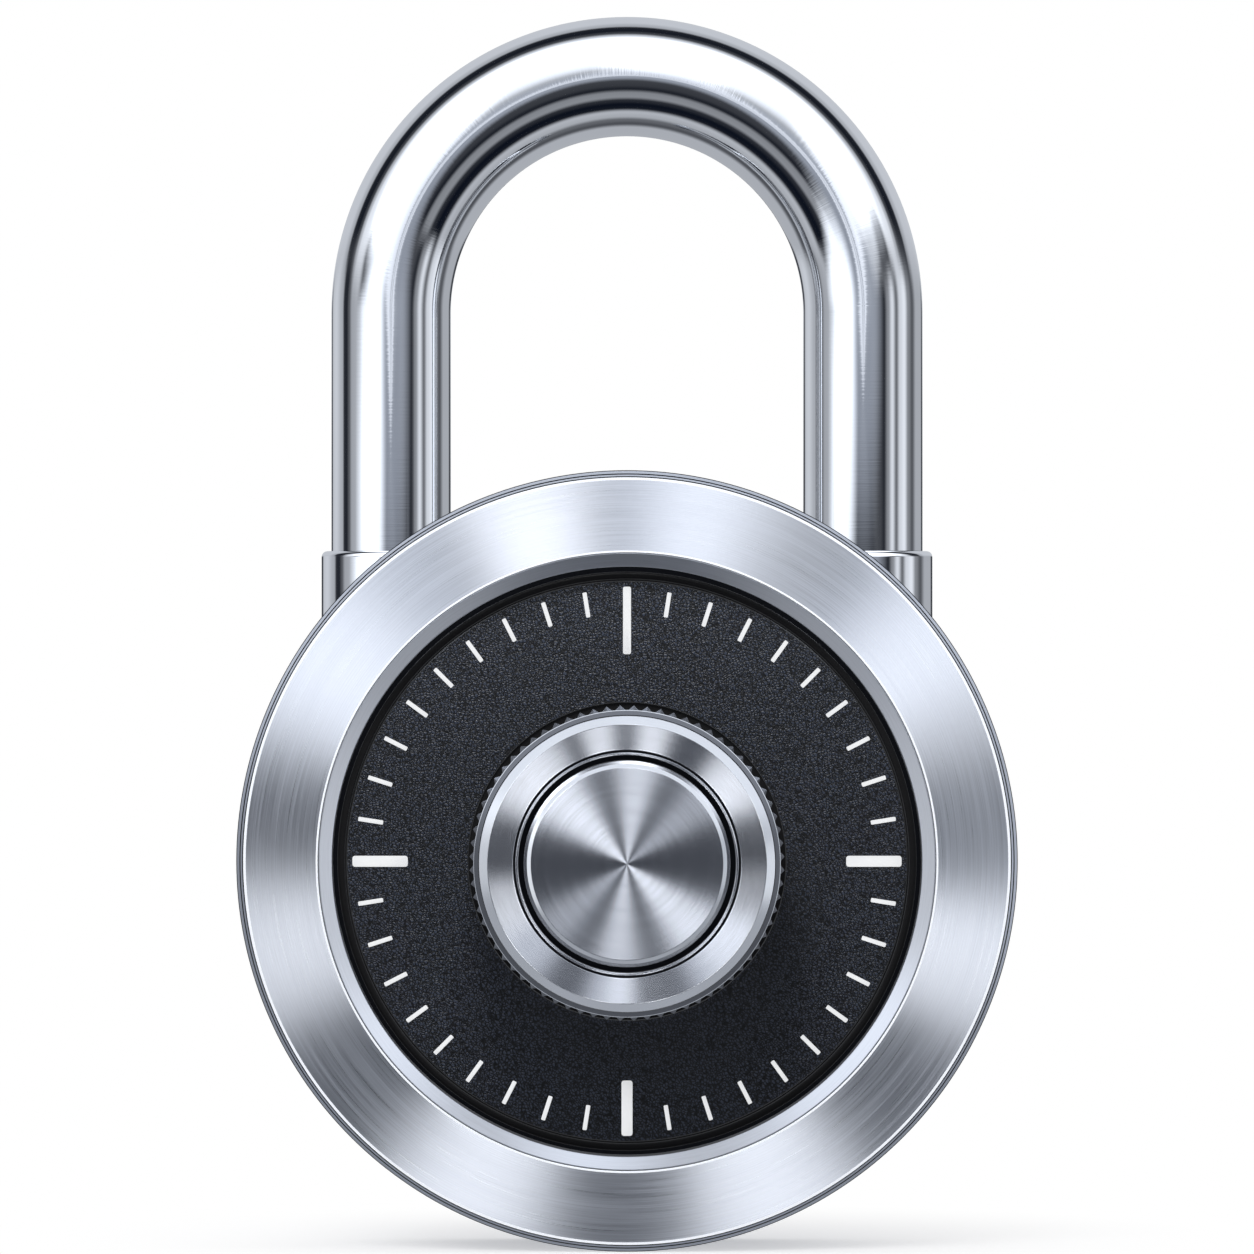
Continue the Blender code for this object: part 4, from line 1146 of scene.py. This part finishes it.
LOW_WALL = (
    (0, 0.05), (10, 0.05), (17, 0.04), (25, 0.01), (33, 0.26), (40, 0.28), (48, 0.02), (57, 0.0),
    (65, 0.004), (75, 0.5), (84, 0.45), (95, 0.14), (106, 0.08), (120, 0.46),
)

# Sectors of those walls: degrees clockwise from the top, half width and softness in degrees. The low
# wall takes what the other three leave.
TOP_SECTOR = (-1, 76, 9)
RIGHT_SECTOR = (92, 13, 5)
LEFT_SECTOR = (270, 13, 5)

# The top wall is dimmed between its bright lobes: from and to in degrees from the viewer, softness in
# degrees, and the share of white that is taken away.
TOP_LOBES = ((-50, 17, 9), (8, 9, 6), (52, 10, 7))
DIP_RANGE = (5, 64, 4)
DIP_DEPTH = 0.86

# Softboxes: degrees clockwise from the top, degrees from the viewer, half width and half reach in
# degrees, level. They light the bezel, its lip, the knob's spun faces and the polished bar.
BEZEL_SOFTBOXES = (
    (14.5, 44.0, 10.0, 20.0, 1.0),
    (30.0, 44.0, 7.0, 20.0, 0.4),
    (61.0, 44.0, 14.0, 20.0, 1.0),
    (108.0, 44.0, 10.5, 20.0, 1.6),
    (157.0, 44.0, 12.0, 20.0, 1.8),
    (205.0, 44.0, 12.0, 20.0, 1.9),
    (254.0, 44.0, 11.0, 20.0, 1.5),
    (300.0, 44.0, 14.0, 20.0, 1.0),
    (343.5, 44.0, 10.0, 20.0, 2.0),
    (0.0, 0.0, 12.0, 12.0, 0.95),
)
LIP_SOFTBOXES = (
    (270.0, 44.0, 30.0, 20.0, 0.75),
    (315.0, 44.0, 30.0, 20.0, 0.5),
    (0.0, 44.0, 30.0, 20.0, 0.5),
    (45.0, 44.0, 30.0, 20.0, 0.5),
    (90.0, 44.0, 30.0, 20.0, 0.75),
    (135.0, 44.0, 24.0, 20.0, 0.35),
    (225.0, 44.0, 24.0, 20.0, 0.35),
)
RING_SOFTBOXES = (
    (2.0, 34.0, 4.5, 20.0, 1.4),
    (73.5, 34.0, 9.0, 20.0, 1.9),
    (134.0, 34.0, 12.5, 20.0, 2.4),
    (168.0, 34.0, 4.5, 20.0, 2.4),
    (191.0, 34.0, 4.5, 20.0, 2.4),
    (231.0, 34.0, 9.0, 20.0, 2.6),
    (294.0, 34.0, 17.5, 20.0, 1.25),
    (277.0, 76.0, 24.0, 14.0, 0.2),
    (95.0, 76.0, 14.0, 14.0, 0.15),
)
CAP_SOFTBOXES = (
    (311.0, 24.0, 8.5, 18.0, 3.0),
    (6.0, 24.0, 6.5, 18.0, 2.2),
    (54.0, 24.0, 6.5, 18.0, 0.7),
    (270.0, 76.0, 34.0, 14.0, 0.4),
)
BAR_SOFTBOXES = (
    (270.0, 40.0, 14.0, 33.0, 0.94),
    (299.0, 42.0, 17.0, 31.0, 0.7),
    (0.0, 47.5, 62.0, 40.5, 0.88),
    (62.0, 36.0, 9.0, 18.0, 0.36),
)
VIEW_SOFTBOXES = ((0.0, 5.0, 42.0, 12.0, 0.26),)

# Which pieces each group of softboxes lights, where its soft edge starts and the colour of its light.
CHROME_PIECES = ("shackle_bar", "heel_ferrule", "toe_ferrule")
PLAIN_LIGHT = (1.0, 1.0, 1.0)
COOL_LIGHT = (0.88, 0.925, 1.0)
BLUE_LIGHT = (0.79, 0.86, 1.0)
SOFTBOX_GROUPS = (
    ("bezel_softbox", BEZEL_SOFTBOXES, ("bezel_ring",), 0.6, PLAIN_LIGHT),
    ("lip_softbox", LIP_SOFTBOXES, ("lip_ring",), 0.3, PLAIN_LIGHT),
    ("ring_softbox", RING_SOFTBOXES, ("bevel_ring",), 0.6, PLAIN_LIGHT),
    ("cap_softbox", CAP_SOFTBOXES, ("spun_cap",), 0.6, PLAIN_LIGHT),
    ("bar_softbox", BAR_SOFTBOXES, CHROME_PIECES, 0.35, COOL_LIGHT),
    ("view_softbox", VIEW_SOFTBOXES, CHROME_PIECES, 0.3, BLUE_LIGHT),
)

# The key lamp's place in metres, and the dial lamp's in dial radii from the middle of the dial's face.
KEY_PLACE = (-0.22, -0.6, 0.45)
DIAL_LAMP_PLACE = (-0.5, -2.5, 4.0)

# The camera's near limit in metres, and the share of the floor's fade that stays plain.
CLIP_START = 0.01
FADE_START = 0.1
WHITE = (1.0, 1.0, 1.0, 1.0)


class PADLOCK_OT_stage(bpy.types.Operator):
    """Add the camera, the studio light and the floor"""

    bl_idname = "padlock.stage"
    bl_label = "Stage"

    def execute(self, context):
        settings = context.scene.padlock.stage
        context.scene.view_settings.view_transform = "Standard"
        self.add_camera(context, settings)
        self.add_studio(context, settings)
        self.add_cards(settings)
        for group in SOFTBOX_GROUPS:
            self.add_softboxes(context, settings.lamp_distance, *group)
        self.add_key(context, settings)
        self.add_dial_lamp(context, settings)
        self.add_floor(settings)
        return {"FINISHED"}

    def add_camera(self, context, settings):
        data = bpy.data.cameras.new("camera")
        data.lens = settings.lens
        data.sensor_width = settings.sensor
        data.sensor_fit = "HORIZONTAL"
        data.clip_start = CLIP_START
        camera = bpy.data.objects.new("camera", data)
        distance = settings.frame_width * settings.lens / settings.sensor
        camera.location = (0, -settings.frame_depth - distance, settings.center_height)
        camera.rotation_euler = (math.pi / 2, 0, 0)
        context.scene.collection.objects.link(camera)
        context.scene.camera = camera

    def add_studio(self, context, settings):
        """White all round for what is seen, straight or in a reflection, and a plain fill for the rest."""
        world = bpy.data.worlds.new("studio")
        context.scene.world = world
        world.use_nodes = True
        world.cycles.sampling_method = "NONE"
        paint = Paint(world.node_tree)
        fill = paint.node("ShaderNodeBackground", None, {"Color": WHITE, "Strength": settings.fill})
        white = paint.node("ShaderNodeBackground", None, {"Color": WHITE, "Strength": 1.0})
        rays = ("Is Camera Ray", "Is Glossy Ray", "Is Transmission Ray")
        camera, glossy, through = [paint.node("ShaderNodeLightPath", output=ray) for ray in rays]
        seen = camera + glossy + through
        mixed = paint.node("ShaderNodeMixShader", None, {0: seen, 1: fill, 2: white})
        paint.surface(mixed, "ShaderNodeOutputWorld")

    def add_cards(self, settings):
        """Dark cards round the lock with pale walls between them, which only reflections show."""
        bm = bmesh.new()
        bmesh.ops.create_uvsphere(bm, u_segments=48, v_segments=24, radius=settings.card_distance)
        material, paint = new_paint("black_cards")
        open_share = self.studio_level(paint, settings.card_distance)
        card = paint.node("ShaderNodeEmission", None, {"Color": rgba(settings.card_color), "Strength": 1.0})
        clear = paint.node("ShaderNodeBsdfTransparent", None, {"Color": rgba(settings.wall_color)})
        paint.surface(paint.node("ShaderNodeMixShader", None, {0: open_share, 1: card, 2: clear}))
        cards = add_piece("black_cards", bm, material)
        cards.visible_camera = False
        cards.visible_diffuse = False
        cards.visible_shadow = False
        cards.visible_transmission = False

    def studio_level(self, paint, distance):
        """How much of the white shows in each direction from the lock."""
        x, y, z = [axis / distance for axis in paint.place()]
        polar = paint.node("ShaderNodeMath", {"operation": "ARCCOSINE"}, {0: -y})
        turn = paint.node("ShaderNodeMath", {"operation": "ARCTAN2"}, {0: x, 1: z})

        def between(low, high, soft):
            rise = paint.step(polar, math.radians(low - soft), math.radians(low + soft))
            fall = paint.step(polar, math.radians(high - soft), math.radians(high + soft))
            return rise * (1 - fall)

        def sector(azimuth, half_width, soft):
            off = paint.node("ShaderNodeMath", {"operation": "COSINE"}, {0: turn - math.radians(azimuth)})
            outer = math.cos(math.radians(half_width + soft))
            inner = math.cos(math.radians(half_width - soft))
            return paint.step(off, outer, inner)

        def profile(stops):
            settings = {"stops": [(angle / 180, level) for angle, level in stops]}
            return paint.node("ShaderNodeValToRGB", settings, {"Fac": polar / math.pi})

        left_lobe, top_lobe, right_lobe = [sector(*lobe) for lobe in TOP_LOBES]
        lobes = left_lobe + top_lobe + right_lobe
        dips = (1 - lobes) * between(*DIP_RANGE) * DIP_DEPTH
        top_share = sector(*TOP_SECTOR)
        right_share = sector(*RIGHT_SECTOR) * (1 - top_share)
        left_share = sector(*LEFT_SECTOR) * (1 - top_share)
        low_share = 1 - top_share - right_share - left_share
        sides = profile(RIGHT_WALL) * right_share + profile(LEFT_WALL) * left_share
        return profile(TOP_WALL) * (1 - dips) * top_share + sides + profile(LOW_WALL) * low_share

    def add_softboxes(self, context, distance, group, boxes, names, soft_from, color):
        """Soft lamps that light only some pieces, as shades and cards keep them off the rest."""
        lit = bpy.data.collections.new(group)
        for name in names:
            lit.objects.link(bpy.data.objects[name])
        for azimuth, polar, half_width, half_reach, level in boxes:
            turn, tilt = math.radians(azimuth), math.radians(polar)
            right, up = math.sin(turn), math.cos(turn)
            aside, ahead = math.sin(tilt), math.cos(tilt)
            away = Vector((aside * right, -ahead, aside * up))
            outward = Vector((ahead * right, aside, ahead * up))
            data = bpy.data.lights.new(group, "AREA")
            data.shape = "ELLIPSE"
            data.size = 2 * distance * math.tan(math.radians(half_width))
            data.size_y = 2 * distance * math.tan(math.radians(half_reach))
            data.energy = level * math.pi * data.size * data.size_y
            data.color = color
            self.soften(data, soft_from)
            lamp = bpy.data.objects.new(f"{group}_{azimuth:.0f}_{polar:.0f}", data)
            axes = Matrix((outward.cross(away), outward, away)).transposed()
            lamp.matrix_world = Matrix.Translation(away * distance) @ axes.to_4x4()
            lamp.light_linking.receiver_collection = lit
            lamp.visible_camera = False
            context.scene.collection.objects.link(lamp)

    def soften(self, data, start):
        """Lets a lamp's light fall off towards its edge, as the cloth of a softbox does."""
        data.use_nodes = True
        paint = Paint(data.node_tree)
        spot = paint.node("ShaderNodeNewGeometry", output="Parametric")
        x, y = [paint.node("ShaderNodeSeparateXYZ", None, {0: spot}, axis) * 2 - 1 for axis in "XY"]
        glow = 1 - paint.step((x * x + y * y) ** 0.5, start, 1.0)
        lit = paint.node("ShaderNodeEmission", None, {"Color": glow, "Strength": 1.0})
        paint.surface(lit, "ShaderNodeOutputLight")

    def add_lamp(self, context, name, place, target, size, power):
        """A square lamp that points at a target."""
        data = bpy.data.lights.new(name, "AREA")
        data.shape = "SQUARE"
        data.size = size
        data.energy = power
        lamp = bpy.data.objects.new(name, data)
        lamp.location = place
        aim = Vector(target) - lamp.location
        lamp.rotation_euler = aim.to_track_quat("-Z", "Y").to_euler()
        context.scene.collection.objects.link(lamp)
        return lamp

    def add_key(self, context, settings):
        key = self.add_lamp(context, "key", KEY_PLACE, (0, 0, 0), settings.key_size, settings.key_power)
        key.visible_glossy = False

    def add_dial_lamp(self, context, settings):
        """A small lamp above the dial, which the dial alone takes and which brings out its grain."""
        face = Vector((0, -DIAL_FRONT, 0))
        place = face + Vector(DIAL_LAMP_PLACE) * DIAL_RADIUS
        lamp = self.add_lamp(context, "dial_lamp", place, face, settings.dial_lamp, settings.dial_power)
        lamp.visible_camera = False
        lit = bpy.data.collections.new("dial_lit")
        lit.objects.link(bpy.data.objects["dial_face"])
        lamp.light_linking.receiver_collection = lit

    def add_floor(self, settings):
        """A pale floor that fades into the white round it."""
        bm = bmesh.new()
        bmesh.ops.create_grid(bm, x_segments=1, y_segments=1, size=settings.floor_size / 2)
        material, paint = new_paint("floor_white")
        x, y = paint.place()[:2]
        distance = (x * x + y * y) ** 0.5
        fade = paint.step(distance, settings.floor_fade * FADE_START, settings.floor_fade)
        matt = paint.shader(
            Base_Color=rgba(settings.floor_color),
            Roughness=0.9,
            Emission_Color=WHITE,
            Emission_Strength=settings.floor_glow,
        )
        white = paint.node("ShaderNodeEmission", None, {"Color": WHITE, "Strength": 1.0})
        paint.surface(paint.node("ShaderNodeMixShader", None, {0: fade, 1: matt, 2: white}))
        floor = add_piece("floor", bm, material, (0, 0, CAD_BOX[0][2]))
        floor.visible_glossy = False


OPERATORS = (
    PADLOCK_OT_case,
    PADLOCK_OT_bezel,
    PADLOCK_OT_dial,
    PADLOCK_OT_knob,
    PADLOCK_OT_shackle,
    PADLOCK_OT_works,
    PADLOCK_OT_stage,
)


class PADLOCK_PT_panel(bpy.types.Panel):
    """Buttons of the padlock's operators"""

    bl_idname = "PADLOCK_PT_panel"
    bl_label = "Padlock"
    bl_space_type = "VIEW_3D"
    bl_region_type = "UI"
    bl_category = "Padlock"

    def draw(self, context):
        for operator in OPERATORS:
            self.layout.operator(operator.bl_idname)


CLASSES = (
    CaseSettings,
    BezelSettings,
    DialSettings,
    KnobSettings,
    ShackleSettings,
    WorksSettings,
    StageSettings,
    PadlockSettings,
    *OPERATORS,
    PADLOCK_PT_panel,
)


def register():
    for cls in CLASSES:
        bpy.utils.register_class(cls)
    bpy.types.Scene.padlock = PointerProperty(type=PadlockSettings)


def unregister():
    del bpy.types.Scene.padlock
    for cls in reversed(CLASSES):
        bpy.utils.unregister_class(cls)


def main():
    register()
    bpy.ops.padlock.case()
    bpy.ops.padlock.bezel()
    bpy.ops.padlock.dial()
    bpy.ops.padlock.knob()
    bpy.ops.padlock.shackle()
    bpy.ops.padlock.works()
    bpy.ops.padlock.stage()


if __name__ == "__main__":
    main()
